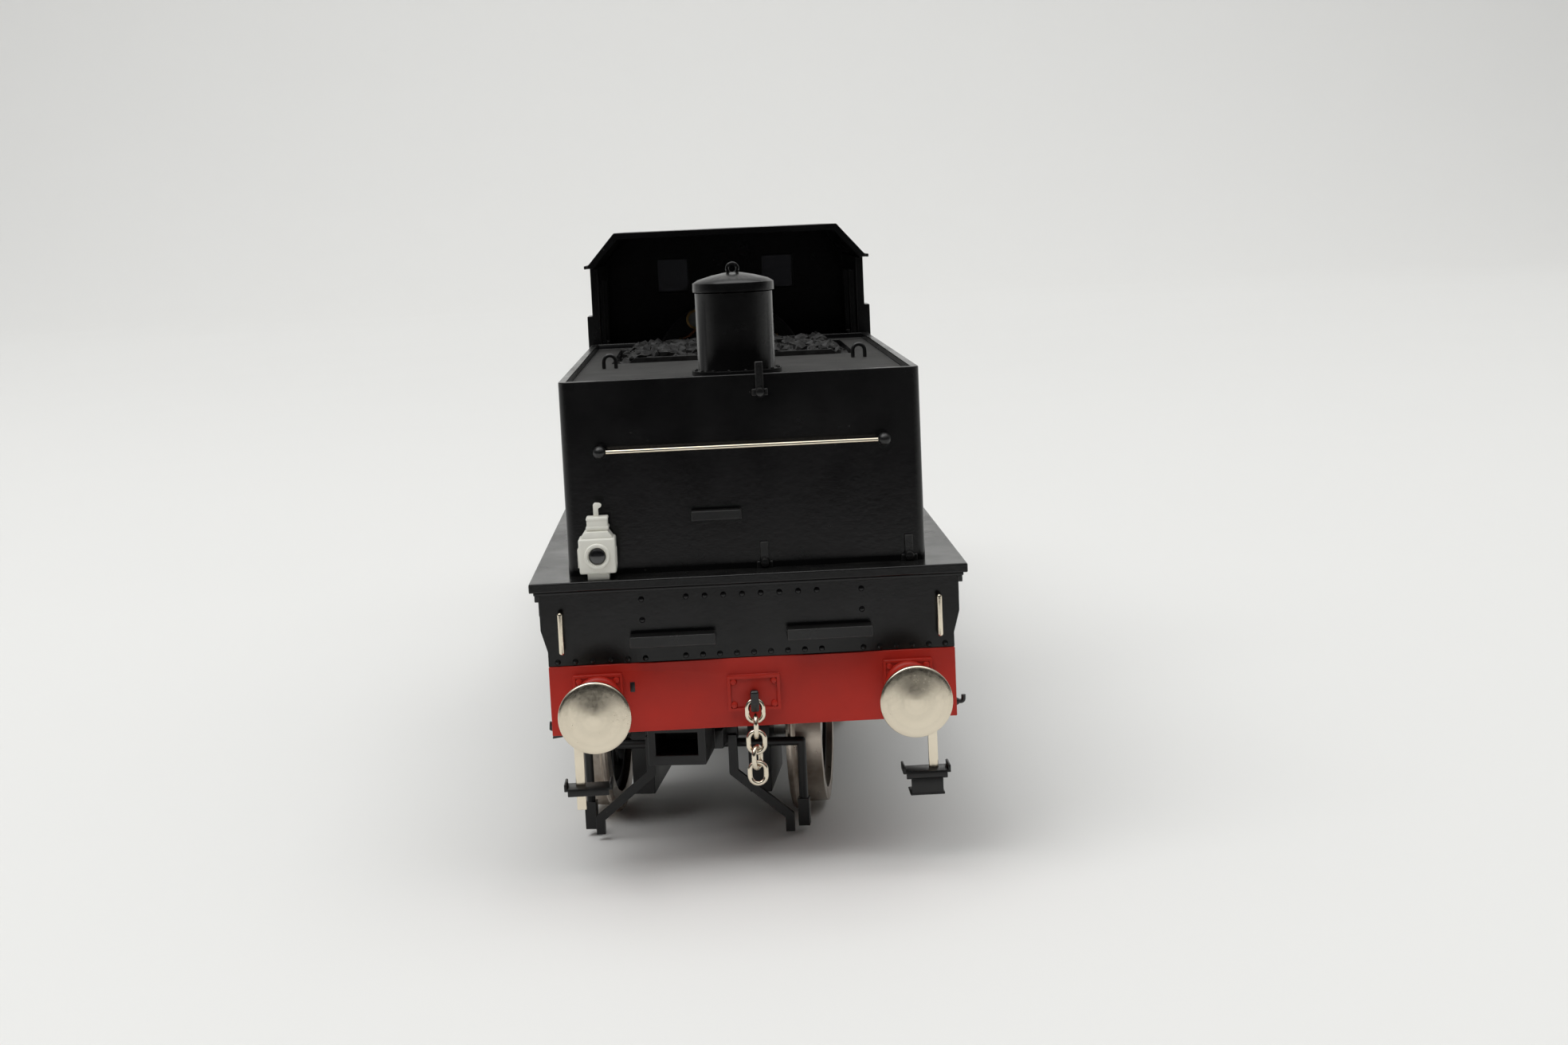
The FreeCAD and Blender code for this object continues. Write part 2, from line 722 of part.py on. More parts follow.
def upright_grab_rail():
    """The right-hand grab rail on the rear drop plate, bent back into it at both ends."""
    low, high = grab_rail_z
    face = -drop_plate_y
    rail_y = face - grab_rail_stand_off
    upright = rod((grab_rail_x, rail_y, low), (grab_rail_x, rail_y, high), grab_rail_radius)
    legs = [rod((grab_rail_x, rail_y, z), (grab_rail_x, face, z), grab_rail_radius)
            for z in grab_rail_z]
    corners = [ball((grab_rail_x, rail_y, z), grab_rail_radius) for z in grab_rail_z]
    return joined([upright] + legs + corners)


def make_handrails():
    """The wire rails on the tank, boiler and drop plates, and the turned knobs."""
    rail_y = tank_rear_y - handrail_stand_off
    reach = knob_radius * rail_overrun_share
    end_x = tank_rail_half_length + reach
    tank_rail = rod((-end_x, rail_y, tank_rail_z), (end_x, rail_y, tank_rail_z), handrail_radius)
    rail_z = boiler_z + boiler_rail_above_centre
    rail_start = cab_front_y + boiler_rail_ends[0]
    rail_end = smokebox_front_y - boiler_rail_ends[1]
    boiler_rail = rod((boiler_rail_x, rail_start, rail_z), (boiler_rail_x, rail_end, rail_z),
                      handrail_radius)
    grab_rail = upright_grab_rail()
    grab_rails = [grab_rail, other_side(grab_rail)]
    grab_rails += [other_end(piece) for piece in grab_rails]
    save("handrails", tank_rail, boiler_rail, other_side(boiler_rail), *grab_rails)
    knobs = []
    for x in (-tank_rail_half_length, tank_rail_half_length):
        knobs.append(knob((x, tank_rear_y, tank_rail_z), (x, rail_y, tank_rail_z), (1, 0, 0)))
    first = firebox_front_y + boiler_knob_inset[0]
    last = rail_end - boiler_knob_inset[1]
    for number in range(boiler_knobs):
        y = first + (last - first) * number / (boiler_knobs - 1)
        shell = smokebox_radius if y > boiler_front_y else boiler_radius
        stem_foot = boiler_rail_above_centre - knob_stem_radius
        base_x = math.sqrt(shell ** 2 - stem_foot ** 2) + seat_clearance
        piece = knob((base_x, y, rail_z), (boiler_rail_x, y, rail_z), (0, 1, 0))
        knobs += [piece, other_side(piece)]
    save("handrail_knobs", *knobs)


def make_ledges():
    """The foot ledges on the tank's rear and on the rear drop plate."""
    tank_ledge = block(tank_ledge_x, (tank_rear_y - tank_ledge_depth, tank_rear_y), tank_ledge_z)
    face = -drop_plate_y
    right = block(plate_ledge_x, (face - plate_ledge_depth, face), plate_ledge_z)
    save("foot_ledges", tank_ledge, right, other_side(right))


def lamp_iron(x, low, high, y):
    """An upright flat iron against a face at y, with a wider foot."""
    half = lamp_iron_width / 2
    foot = lamp_iron_foot_width / 2
    strip = block((x - half, x + half), (y - lamp_iron_thickness, y), (low, high))
    pad = block((x - foot, x + foot), (y - lamp_iron_thickness, y), (low, low + lamp_iron_foot_height))
    return joined([strip, pad])


def make_lamp_irons():
    """Lamp irons on the tank's top edge and along its foot."""
    irons = [lamp_iron(top_iron_x, top_iron_z[0], top_iron_z[1], tank_rear_y)]
    low = footplate_top_z
    for x in (middle_iron_x, side_iron_x, lamp_x):
        irons.append(lamp_iron(x, low, low + low_iron_height, tank_rear_y))
    save("lamp_irons", *irons)


def make_lamp():
    """The tail lamp that stands on its iron, with its lens."""
    back = tank_rear_y - lamp_iron_socket
    front = back - lamp_depth
    low = footplate_top_z + lamp_foot_height
    shoulder = low + lamp_height
    half = lamp_width / 2
    foot = block((lamp_x - lamp_foot_width / 2, lamp_x + lamp_foot_width / 2),
                 (front + lamp_foot_inset, back - lamp_foot_inset), (footplate_top_z, low))
    body = block((lamp_x - half, lamp_x + half), (front, back), (low, shoulder))
    inset = lamp_shoulder
    slope = plate_along_y([(lamp_x - half, shoulder), (lamp_x + half, shoulder),
                           (lamp_x + half - inset, shoulder + inset),
                           (lamp_x - half + inset, shoulder + inset)],
                          (front + lamp_shoulder_inset, back - lamp_shoulder_inset))
    middle_y = (front + back) / 2
    neck_top = shoulder + inset + lamp_neck_height
    neck = rod((lamp_x, middle_y, shoulder), (lamp_x, middle_y, neck_top), lamp_neck_radius)
    top = rod((lamp_x, middle_y, neck_top), (lamp_x, middle_y, neck_top + lamp_top_height),
              lamp_top_radius)
    lens_z = low + lens_height_share * lamp_height
    socket = rod((lamp_x, front, lens_z), (lamp_x, front + lens_thickness, lens_z), lens_radius)
    save("lamp_body", joined([foot, body, slope, neck, top]).cut(socket))
    lens = cone((lamp_x, front - lens_stand_out, lens_z), (lamp_x, front, lens_z),
                lens_radius * lens_face_share, lens_radius - seat_clearance)
    stub = rod((lamp_x, front, lens_z), (lamp_x, front + lens_thickness, lens_z),
               lens_radius - seat_clearance)
    save("lamp_lens", joined([lens, stub]))


def make_footsteps():
    """A strip with a footboard at each side, hung behind the rear beam."""
    front = -beam_back_y + footstep_strip_thickness
    half = footstep_strip_width / 2
    strip = block((footstep_x - half, footstep_x + half), (-beam_back_y, front),
                  (footstep_bottom_z, beam_bottom_z + footstep_strip_lap))
    save("footstep_hangers", strip, other_side(strip))
    board_rear = -beam_back_y - footstep_board_forward
    board_y = (board_rear, board_rear + footstep_board_depth)
    top = footstep_board_z
    board = block(footstep_board_x, board_y, (top - footstep_board_thickness, top))
    lip = block(footstep_board_x, (board_y[0], board_y[0] + footstep_board_thickness),
                (top - footstep_board_thickness - footstep_board_lip, top))
    slot = block((footstep_x - half - footstep_slot_gap, footstep_x + half + footstep_slot_gap),
                 (-beam_back_y, front + footstep_slot_gap), (0, top + lap))
    shape = joined([board, lip]).cut(slot)
    save("footstep_boards", shape, other_side(shape))


# ---------------------------------------------------------------- cab
def make_cab():
    """The cab's side sheets and front plate, its roof and its glass."""
    half = cab_width / 2
    inner_flat = roof_flat_width / 2 - roof_thickness / 2
    roof_under = cab_roof_z - roof_thickness
    inner_side = roof_side_width / 2 - roof_side_inset
    front_outline = [(-half, footplate_top_z), (half, footplate_top_z), (half, cab_shoulder_z),
                     (inner_side, cab_shoulder_z), (inner_flat, roof_under),
                     (-inner_flat, roof_under), (-inner_side, cab_shoulder_z),
                     (-half, cab_shoulder_z)]
    front = plate_along_y(front_outline, (cab_front_y - cab_wall, cab_front_y))
    sheet = block((half - cab_wall, half), (cab_rear_y, cab_front_y),
                  (footplate_top_z, cab_shoulder_z))
    waist = block((half, half + cab_waist_thickness), (cab_rear_y, cab_front_y),
                  (footplate_top_z, cab_waist_z))
    right = sheet.fuse(waist)
    cutter_x = (half - 2 * lap, half + 2 * lap)
    doorway = block(cutter_x, (cab_rear_y + doorway_y[0], cab_rear_y + doorway_y[1]), doorway_z)
    window = block(cutter_x, (cab_rear_y + side_window_y[0], cab_rear_y + side_window_y[1]),
                   side_window_z)
    right = right.cut([doorway, window])
    front_windows = []
    for side in (-1, 1):
        edges = sorted(side * x for x in front_window_x)
        front_windows.append(block(edges, (cab_front_y - 2 * lap, cab_front_y + 2 * lap),
                                   front_window_z))
    save("cab_shell", joined([front, right, other_side(right)]).cut(front_windows))

    wide = roof_side_width / 2
    flat = roof_flat_width / 2
    outline = [(-wide, cab_shoulder_z), (-flat, cab_roof_z), (flat, cab_roof_z),
               (wide, cab_shoulder_z), (inner_side, cab_shoulder_z), (inner_flat, roof_under),
               (-inner_flat, roof_under), (-inner_side, cab_shoulder_z)]
    save("cab_roof", plate_along_y(outline, (cab_rear_y - roof_rear_overhang,
                                             cab_front_y + roof_front_overhang)))

    panes = []
    for side in (-1, 1):
        edges = sorted(side * x for x in front_window_x)
        pane = block((edges[0] + seat_clearance, edges[1] - seat_clearance),
                     (cab_front_y - glass_thickness, cab_front_y),
                     (front_window_z[0] + seat_clearance, front_window_z[1] - seat_clearance))
        panes.append(pane)
    save("cab_glazing", *panes)


def arch_outline(half_width, centre_z, floor_z, steps=24):
    """A round-topped outline with upright sides down to a floor."""
    points = [(-half_width, floor_z), (half_width, floor_z)]
    for step in range(steps + 1):
        angle = math.pi * step / steps
        points.append((half_width * math.cos(angle), centre_z + half_width * math.sin(angle)))
    return points


def make_backhead():
    """The boiler's end inside the cab."""
    inside = cab_front_y - cab_wall
    outline = arch_outline(backhead_half_width, backhead_top_z - backhead_half_width,
                           footplate_top_z)
    save("backhead", plate_along_y(outline, (inside - backhead_depth, inside)))


# ---------------------------------------------------------------- boiler
def tube(radius, y_range):
    """A length of boiler shell."""
    outer = rod((0, y_range[0], boiler_z), (0, y_range[1], boiler_z), radius)
    inner = rod((0, y_range[0], boiler_z), (0, y_range[1], boiler_z), radius - shell_wall)
    return outer.cut(inner)


def make_boiler():
    """The firebox casing, the boiler barrel and the smokebox with its saddle."""
    shell = plate_along_y(arch_outline(firebox_half_width, boiler_z, footplate_top_z),
                          (cab_front_y, firebox_front_y))
    hollow = plate_along_y(arch_outline(firebox_half_width - shell_wall, boiler_z,
                                        footplate_top_z - 1),
                           (cab_front_y + shell_wall, firebox_front_y - shell_wall))
    save("firebox", shell.cut(hollow))
    save("boiler", tube(boiler_radius, (firebox_front_y, boiler_front_y)))
    shell = tube(smokebox_radius, (boiler_front_y, smokebox_front_y))
    back = rod((0, boiler_front_y, boiler_z), (0, boiler_front_y + shell_wall, boiler_z),
               smokebox_radius)
    front = rod((0, smokebox_front_y - shell_wall, boiler_z), (0, smokebox_front_y, boiler_z),
                smokebox_radius)
    mouth = rod((0, smokebox_front_y - 2 * shell_wall, boiler_z),
                (0, smokebox_front_y + lap, boiler_z), door_radius - smokebox_mouth_lip)
    saddle = centred_block(2 * saddle_half_width, (boiler_front_y, smokebox_front_y),
                           (footplate_top_z, boiler_z - smokebox_radius * smokebox_saddle_share))
    inside = rod((0, boiler_front_y + shell_wall, boiler_z),
                 (0, smokebox_front_y - shell_wall, boiler_z), smokebox_radius - shell_wall)
    body = joined([shell, back, front, saddle]).cut([inside, mouth])
    hinge_y = smokebox_front_y + door_rim / 2 + working_gap
    for side in (-1, 1):
        lug_z = boiler_z + side * (door_strap_spread / 2 + door_strap_height / 2 + door_lug_gap)
        lug_ends = (lug_z - door_lug_half_height, lug_z + door_lug_half_height)
        lug = rod((-door_hinge_offset, hinge_y, lug_ends[0]), (-door_hinge_offset, hinge_y, lug_ends[1]),
                  door_hinge_radius)
        foot = block((-door_hinge_offset - door_hinge_radius, -door_hinge_offset + door_hinge_radius),
                     (smokebox_front_y - door_lug_sink, hinge_y), lug_ends)
        body = body.fuse([lug, foot])
    pin_reach = door_strap_spread / 2 + door_strap_height / 2 + door_pin_overrun
    pin = rod((-door_hinge_offset, hinge_y, boiler_z - pin_reach),
              (-door_hinge_offset, hinge_y, boiler_z + pin_reach), door_hinge_pin_radius)
    save("smokebox", body.fuse(pin).removeSplitter())


def make_smokebox_door():
    """The dished door on its strap hinges, with its centre dart."""
    seat = smokebox_front_y + working_gap / 3
    profile = [(0, 0), (0, door_radius), (door_rim, door_radius)]
    profile += [(door_rim + rise * door_dome, door_radius * share) for rise, share in door_curve]
    profile.append((door_rim + door_dome, 0))
    door = turned(profile, (0, seat, boiler_z), (0, 1, 0))
    dart = rod((0, seat + door_rim + door_dome, boiler_z),
               (0, seat + door_rim + door_dome + dart_length, boiler_z), dart_radius)
    pieces = [door, dart]
    hinge_y = smokebox_front_y + door_rim / 2 + working_gap
    half = door_strap_height / 2
    for side in (-1, 1):
        z = boiler_z + side * door_strap_spread / 2
        pieces.append(rod((-door_hinge_offset, hinge_y, z - half),
                          (-door_hinge_offset, hinge_y, z + half), door_hinge_radius))
        pieces.append(block((-door_hinge_offset, -door_radius * door_strap_reach),
                            (hinge_y, seat + door_rim + door_strap_proud), (z - half, z + half)))
    hole = rod((-door_hinge_offset, hinge_y, boiler_z - through),
               (-door_hinge_offset, hinge_y, boiler_z + through),
               door_hinge_pin_radius + running_clearance)
    save("smokebox_door", joined(pieces).cut(hole))


def make_mountings():
    """The chimney, dome and safety valves on top of the boiler."""
    chimney_y = (boiler_front_y + smokebox_front_y) / 2
    height = chimney_top_z - boiler_z
    root = smokebox_radius - chimney_root
    profile = [(root, chimney_bore_radius), (root, chimney_base_radius),
               (smokebox_radius + chimney_flange_rise, chimney_base_radius),
               (smokebox_radius + chimney_foot_rise, chimney_waist_radius),
               (height - chimney_cap_drops[0], chimney_waist_radius * chimney_taper),
               (height - chimney_cap_drops[1], chimney_cap_radius),
               (height - chimney_cap_drops[2], chimney_cap_radius),
               (height, chimney_cap_radius * chimney_cap_taper), (height, chimney_bore_radius)]
    chimney = turned(profile, (0, chimney_y, boiler_z), (0, 0, 1))
    seat = rod((0, boiler_front_y - lap, boiler_z), (0, smokebox_front_y + lap, boiler_z),
               smokebox_radius + seat_clearance)
    save("chimney", chimney.cut(seat))

    dome_y = (firebox_front_y + boiler_front_y) / 2
    top = dome_top_z - boiler_z
    profile = [(0, 0), (0, dome_flange_radius),
               (boiler_radius + dome_flange_rise, dome_flange_radius),
               (boiler_radius + dome_foot_rise, dome_radius)]
    profile += [(top - drop, dome_radius * share) for drop, share in dome_curve]
    profile.append((top, 0))
    dome = turned(profile, (0, dome_y, boiler_z), (0, 0, 1))
    barrel = rod((0, firebox_front_y, boiler_z), (0, boiler_front_y, boiler_z),
                 boiler_radius + seat_clearance)
    save("dome", dome.cut(barrel))

    valve_y = cab_front_y + firebox_length / 2
    crown = boiler_z + firebox_half_width
    casing = centred_block(2 * valve_spacing,
                           (valve_y - valve_base_half_length, valve_y + valve_base_half_length),
                           (crown - valve_base_sink, crown + valve_base_height))
    valves = [casing]
    for side in (-1, 1):
        x = side * valve_spacing / 2
        valves.append(rod((x, valve_y, crown), (x, valve_y, valve_top_z), valve_radius))
    arch = plate_along_y(arch_outline(firebox_half_width + seat_clearance, boiler_z,
                                      footplate_top_z), (cab_front_y, firebox_front_y))
    save("safety_valves", joined(valves).cut(arch))


# ---------------------------------------------------------------- wheels and rods
def tyre(radius, axle_y, axle_z):
    """The right-hand tyre of an axle, with its flange on the inside."""
    inner = radius - tyre_depth
    profile = [(0, inner), (0, radius + flange_depth * tyre_flange_root_share),
               (tyre_flange_tip[0], radius + flange_depth),
               (tyre_flange_tip[1], radius + flange_depth),
               (tyre_flange_width, radius + tyre_coning), (tyre_width, radius - tyre_coning),
               (tyre_width, inner)]
    return turned(profile, (wheel_back_x, axle_y, axle_z), (1, 0, 0))


def wheel_centre(radius, axle_y, axle_z, spokes, hub_radius, bore_radius, first_spoke_deg):
    """The spoked right-hand centre that a tyre is pushed onto."""
    outer = radius - tyre_depth - seat_clearance
    inner = outer - wheel_rim_depth
    near = (wheel_centre_x, axle_y, axle_z)
    far = (wheel_face_x, axle_y, axle_z)
    rim = rod(near, far, outer).cut(rod(near, far, inner))
    hub = rod(near, far, hub_radius)
    pieces = [rim, hub]
    depth = wheel_centre_width * spoke_depth_share
    mid = wheel_centre_x + (wheel_centre_width - depth) / 2
    for number in range(spokes):
        spoke = block((mid, mid + depth), (axle_y + hub_radius * spoke_root_share,
                                           axle_y + inner + wheel_rim_depth / 2),
                      (axle_z - spoke_width / 2, axle_z + spoke_width / 2))
        spoke.rotate(Vector(0, axle_y, axle_z), Vector(1, 0, 0),
                     first_spoke_deg + 360.0 * number / spokes)
        pieces.append(spoke)
    return pieces, rod((0, axle_y, axle_z), (through, axle_y, axle_z), bore_radius)


def crank_point(axle_y, crank_deg):
    """Where a crankpin's centre lies, as (y, z)."""
    angle = math.radians(crank_deg)
    return axle_y + crank_radius * math.cos(angle), driver_z + crank_radius * math.sin(angle)


def driving_wheel(axle_y, crank_deg):
    """A right-hand driving wheel's centre and its crankpin."""
    y, z = crank_point(axle_y, crank_deg)
    pieces, bore = wheel_centre(driver_radius, axle_y, driver_z, driver_spokes, wheel_hub_radius,
                                axle_radius + seat_clearance, crank_deg)
    boss = rod((wheel_centre_x, y, z), (crank_boss_x, y, z), wheel_crank_boss_radius)
    hub_boss = rod((wheel_face_x, axle_y, driver_z),
                   (wheel_face_x + wheel_hub_boss_height, axle_y, driver_z), wheel_hub_radius)
    web = block((wheel_centre_x, wheel_face_x), (axle_y, axle_y + crank_radius),
                (driver_z - crank_web_half_width, driver_z + crank_web_half_width))
    web.rotate(Vector(0, axle_y, driver_z), Vector(1, 0, 0), crank_deg)
    pin_hole = rod((0, y, z), (through, y, z), crankpin_radius + seat_clearance)
    centre = joined(pieces + [boss, hub_boss, web]).cut([bore, pin_hole])
    head_x = rod_x + rod_thickness + rod_gap / 2
    shank = rod((wheel_centre_x, y, z), (head_x, y, z), crankpin_radius)
    head = rod((head_x, y, z), (head_x + crankpin_head_length, y, z), crankpin_head_radius)
    return centre, joined([shank, head])


def make_driving_wheelset(name, axle_y):
    """An axle with its crankpins, wheel centres and tyres."""
    right_centre, right_pin = driving_wheel(axle_y, right_crank_deg)
    left_centre, left_pin = driving_wheel(axle_y, left_crank_deg)
    right_tyre = tyre(driver_radius, axle_y, driver_z)
    axle = rod((-wheel_face_x, axle_y, driver_z), (wheel_face_x, axle_y, driver_z), axle_radius)
    save(name + "_axle", axle, right_pin, other_side(left_pin))
    save(name + "_wheel_centres", right_centre, other_side(left_centre))
    save(name + "_tyres", right_tyre, other_side(right_tyre))


def coupling_rod(crank_deg):
    """The right-hand rod that joins the three crankpins."""
    x_range = (rod_x, rod_x + rod_thickness)
    pieces = []
    holes = []
    points = [crank_point(y, crank_deg) for y in (rear_axle_y, middle_axle_y, front_axle_y)]
    for y, z in points:
        pieces.append(rod((x_range[0], y, z), (x_range[1], y, z), rod_boss_radius))
        holes.append(rod((x_range[0] - lap, y, z), (x_range[1] + lap, y, z),
                         crankpin_radius + running_clearance))
    z = points[0][1]
    bar = block((x_range[0] + rod_bar_inset, x_range[1] - rod_bar_inset),
                (points[0][0], points[-1][0]),
                (z - rod_height / 2, z + rod_height / 2))
    return joined(pieces + [bar]).cut(holes)


def make_axle_gear():
    """The toothed wheel on the middle axle."""
    points = []
    root = gear_radius - gear_tooth_depth
    radii = (root, gear_radius, gear_radius, root)
    for tooth in range(gear_teeth):
        for share, radius in zip(gear_tooth_shares, radii):
            angle = 2 * math.pi * (tooth + share) / gear_teeth
            points.append((middle_axle_y + radius * math.cos(angle),
                           driver_z + radius * math.sin(angle)))
    half = gear_width / 2
    gear = plate_along_x(points, (-half, half))
    bore = rod((-half, middle_axle_y, driver_z), (half, middle_axle_y, driver_z),
               axle_radius + seat_clearance)
    save("axle_gear", gear.cut(bore))


def make_motor():
    """The motor's case, and its shaft with the worm."""
    front = middle_axle_y + motor_from_axle
    back = front + motor_length
    low = worm_z - motor_height / 2
    case = centred_block(motor_width, (front, back), (low, low + motor_height))
    near = middle_axle_y - gear_cavity_half_length - shaft_overrun
    far = back + shaft_overrun
    bore = rod((0, near, worm_z), (0, far, worm_z), motor_shaft_radius + running_clearance)
    save("motor_case", case.cut(bore))
    shaft = rod((0, near, worm_z), (0, far, worm_z), motor_shaft_radius)
    length = worm_pitch * worm_turns
    start = middle_axle_y - length / 2
    profile = [(0, 0), (0, worm_core_radius)]
    radii = (worm_core_radius, worm_radius, worm_radius, worm_core_radius)
    for turn in range(worm_turns):
        profile += [((turn + share) * worm_pitch, radius)
                    for share, radius in zip(worm_thread_shares, radii)]
    profile += [(length, worm_core_radius), (length, 0)]
    worm = turned(profile, (0, start, worm_z), (0, 1, 0))
    save("motor_shaft", joined([shaft, worm]))


def make_chassis():
    """The cast chassis block, and the keeper plate that holds the axles in it."""
    half = chassis_width / 2
    main = block((-half, half), (chassis_rear_y, chassis_front_y),
                 (driver_z, chassis_rear_bottom_z))
    spine = block((-half, half), (-drop_plate_back_y, drop_plate_back_y),
                  (chassis_rear_bottom_z, footplate_bottom_z))
    axle_holes = [rod((-half - lap, y, driver_z), (half + lap, y, driver_z),
                      axle_radius + running_clearance)
                  for y in (rear_axle_y, middle_axle_y, front_axle_y)]
    motor_y = middle_axle_y + motor_from_axle
    motor_low = worm_z - motor_height / 2
    motor_bed = centred_block(motor_width + 2 * seat_clearance,
                              (motor_y - lap, motor_y + motor_length + lap),
                              (motor_low, footplate_bottom_z))
    gear_room = centred_block(2 * gear_cavity_half_width,
                              (middle_axle_y - gear_cavity_half_length, motor_y),
                              (0, worm_z + motor_height / 2))
    shaft_hole = rod((0, middle_axle_y - gear_cavity_half_length - shaft_overrun - lap, worm_z),
                     (0, motor_y + motor_length + shaft_overrun + lap, worm_z),
                     motor_shaft_radius + running_clearance)
    screw_hole = rod((0, pivot_y, 0), (0, pivot_y, driver_z + pivot_depth),
                     pivot_radius + seat_clearance)
    body = joined([main, spine])
    save("chassis_block", body.cut(axle_holes + [motor_bed, gear_room, shaft_hole, screw_hole]))
    keeper = block((-half, half), (chassis_rear_y, chassis_front_y),
                   (driver_z - keeper_thickness, driver_z))
    save("keeper_plate", keeper.cut(axle_holes + [gear_room, screw_hole]))


# ---------------------------------------------------------------- pony truck
def make_pony_frame():
    """The truck's frame, from its pivot arm to the coupler pocket."""
    half = pocket_width / 2
    pocket = block((-half, half), (pocket_y, pocket_y + pocket_length), pocket_z)
    opening = centred_block(pocket_opening_width, (pocket_y, pocket_y + pocket_opening_depth),
                            pocket_opening_z)
    arm_start = pivot_y - arm_step_from_pivot
    spine = centred_block(2 * truck_plate_half_width, (pocket_y + pocket_length - lap, arm_start + lap),
                          truck_plate_z)
    arm = centred_block(2 * arm_half_width, (arm_start - lap, pivot_y), arm_z)
    eye = rod((0, pivot_y, arm_z[0]), (0, pivot_y, arm_z[1]), arm_half_width)
    cheek = block(truck_cheek_x, (pony_axle_y - truck_cheek_half_length,
                                  pony_axle_y + truck_cheek_half_length),
                  (truck_cheek_bottom_z, truck_plate_z[1]))
    bridge = centred_block(2 * truck_cheek_x[1], (pony_axle_y - truck_cheek_half_length,
                                                  pony_axle_y + truck_cheek_half_length),
                           (truck_plate_z[0] + truck_bridge_step, truck_plate_z[1]))
    carrier_y = pony_axle_y - iron_from_axle
    carrier = centred_block(2 * (iron_path[0][0] + iron_width / 2),
                            (carrier_y + iron_thickness,
                             carrier_y + iron_thickness + truck_carrier_thickness),
                            (truck_plate_z[0], truck_plate_z[1]))
    axle_bore = rod((-through, pony_axle_y, pony_z), (through, pony_axle_y, pony_z),
                    pony_axle_radius + running_clearance)
    pivot_bore = rod((0, pivot_y, 0), (0, pivot_y, through), pivot_radius + running_clearance)
    frame = joined([pocket, spine, arm, eye, cheek, other_side(cheek), bridge, carrier])
    save("pony_frame", swung(frame.cut([opening, axle_bore, pivot_bore])))
    head_top = arm_z[0] - pivot_head_gap
    head = rod((0, pivot_y, head_top - pivot_head_height), (0, pivot_y, head_top), pivot_head_radius)
    shank = rod((0, pivot_y, head_top), (0, pivot_y, driver_z + pivot_depth - pivot_end_gap),
                pivot_radius)
    save("pivot_screw", joined([head, shank]))


def strip_along(path, width, y_range):
    """A flat strip that follows (x, z) points, of even width."""
    pieces = []
    for (x0, z0), (x1, z1) in zip(path, path[1:]):
        run = math.hypot(x1 - x0, z1 - z0)
        across = (width / 2 * (z1 - z0) / run, -width / 2 * (x1 - x0) / run)
        outline = [(x0 + across[0], z0 + across[1]), (x1 + across[0], z1 + across[1]),
                   (x1 - across[0], z1 - across[1]), (x0 - across[0], z0 - across[1])]
        pieces.append(plate_along_y(outline, y_range))
    for x, z in path[1:-1]:
        pieces.append(rod((x, y_range[0], z), (x, y_range[1], z), width / 2))
    return joined(pieces)


def make_truck_irons():
    """The bent guard irons and the guard rods with their shoes."""
    y = pony_axle_y - iron_from_axle
    iron = strip_along(iron_path, iron_width, (y, y + iron_thickness))
    rod_y = y + iron_thickness + truck_carrier_thickness + guard_rod_radius
    cross = rod((-guard_rod_x, rod_y, guard_rod_z), (guard_rod_x, rod_y, guard_rod_z),
                guard_rod_radius)
    pieces = [cross]
    width, depth, height = guard_shoe_size
    for side in (-1, 1):
        x = side * guard_rod_x
        pieces.append(ball((x, rod_y, guard_rod_z), guard_rod_radius))
        pieces.append(rod((x, rod_y, guard_rod_z), (x, rod_y, guard_shoe_bottom_z + height / 2),
                          guard_rod_radius))
        pieces.append(block((x - width / 2, x + width / 2), (rod_y - depth / 2, rod_y + depth / 2),
                            (guard_shoe_bottom_z, guard_shoe_bottom_z + height)))
    save("guard_irons", swung(iron), swung(other_side(iron)), swung(joined(pieces)))


def make_pony_wheelset():
    """The truck's axle, wheel centres and tyres."""
    pieces, bore = wheel_centre(pony_radius, pony_axle_y, pony_z, pony_spokes, pony_hub_radius,
                                pony_axle_radius + seat_clearance, 90)
    centre = joined(pieces).cut(bore)
    rim = tyre(pony_radius, pony_axle_y, pony_z)
    axle = rod((-wheel_face_x, pony_axle_y, pony_z), (wheel_face_x, pony_axle_y, pony_z),
               pony_axle_radius)
    save("pony_axle", swung(axle))
    save("pony_wheel_centres", swung(centre), swung(other_side(centre)))
    save("pony_tyres", swung(rim), swung(other_side(rim)))


def main():
    """Write every piece of the locomotive."""
    os.makedirs("parts", exist_ok=True)
    make_footplate()
    make_drop_plates()
    make_beams()
    make_buffers()
    make_drawhooks()
    make_chain()
    make_tank()
    make_filler()
    make_lifting_eyes()
    make_handrails()
    make_ledges()
    make_lamp_irons()
    make_lamp()
    make_footsteps()
    make_cab()
    make_backhead()
    make_boiler()
    make_smokebox_door()
    make_mountings()
    for name, axle_y in (("rear", rear_axle_y), ("middle", middle_axle_y), ("front", front_axle_y)):
        make_driving_wheelset(name, axle_y)
    save("right_coupling_rod", coupling_rod(right_crank_deg))
    save("left_coupling_rod", other_side(coupling_rod(left_crank_deg)))
    make_axle_gear()
    make_motor()
    make_chassis()
    make_pony_frame()
    make_truck_irons()
    make_pony_wheelset()


main()
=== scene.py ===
"""Visible pieces, finishes and studio for a 4 mm scale back-tank steam locomotive.

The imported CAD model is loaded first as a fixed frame. Sizes in the code are millimetres
times MM, X runs across the locomotive, +Y towards the chimney and +Z up.
"""

import json
import math
import random

import bmesh
import bpy
from mathutils import Matrix, Vector


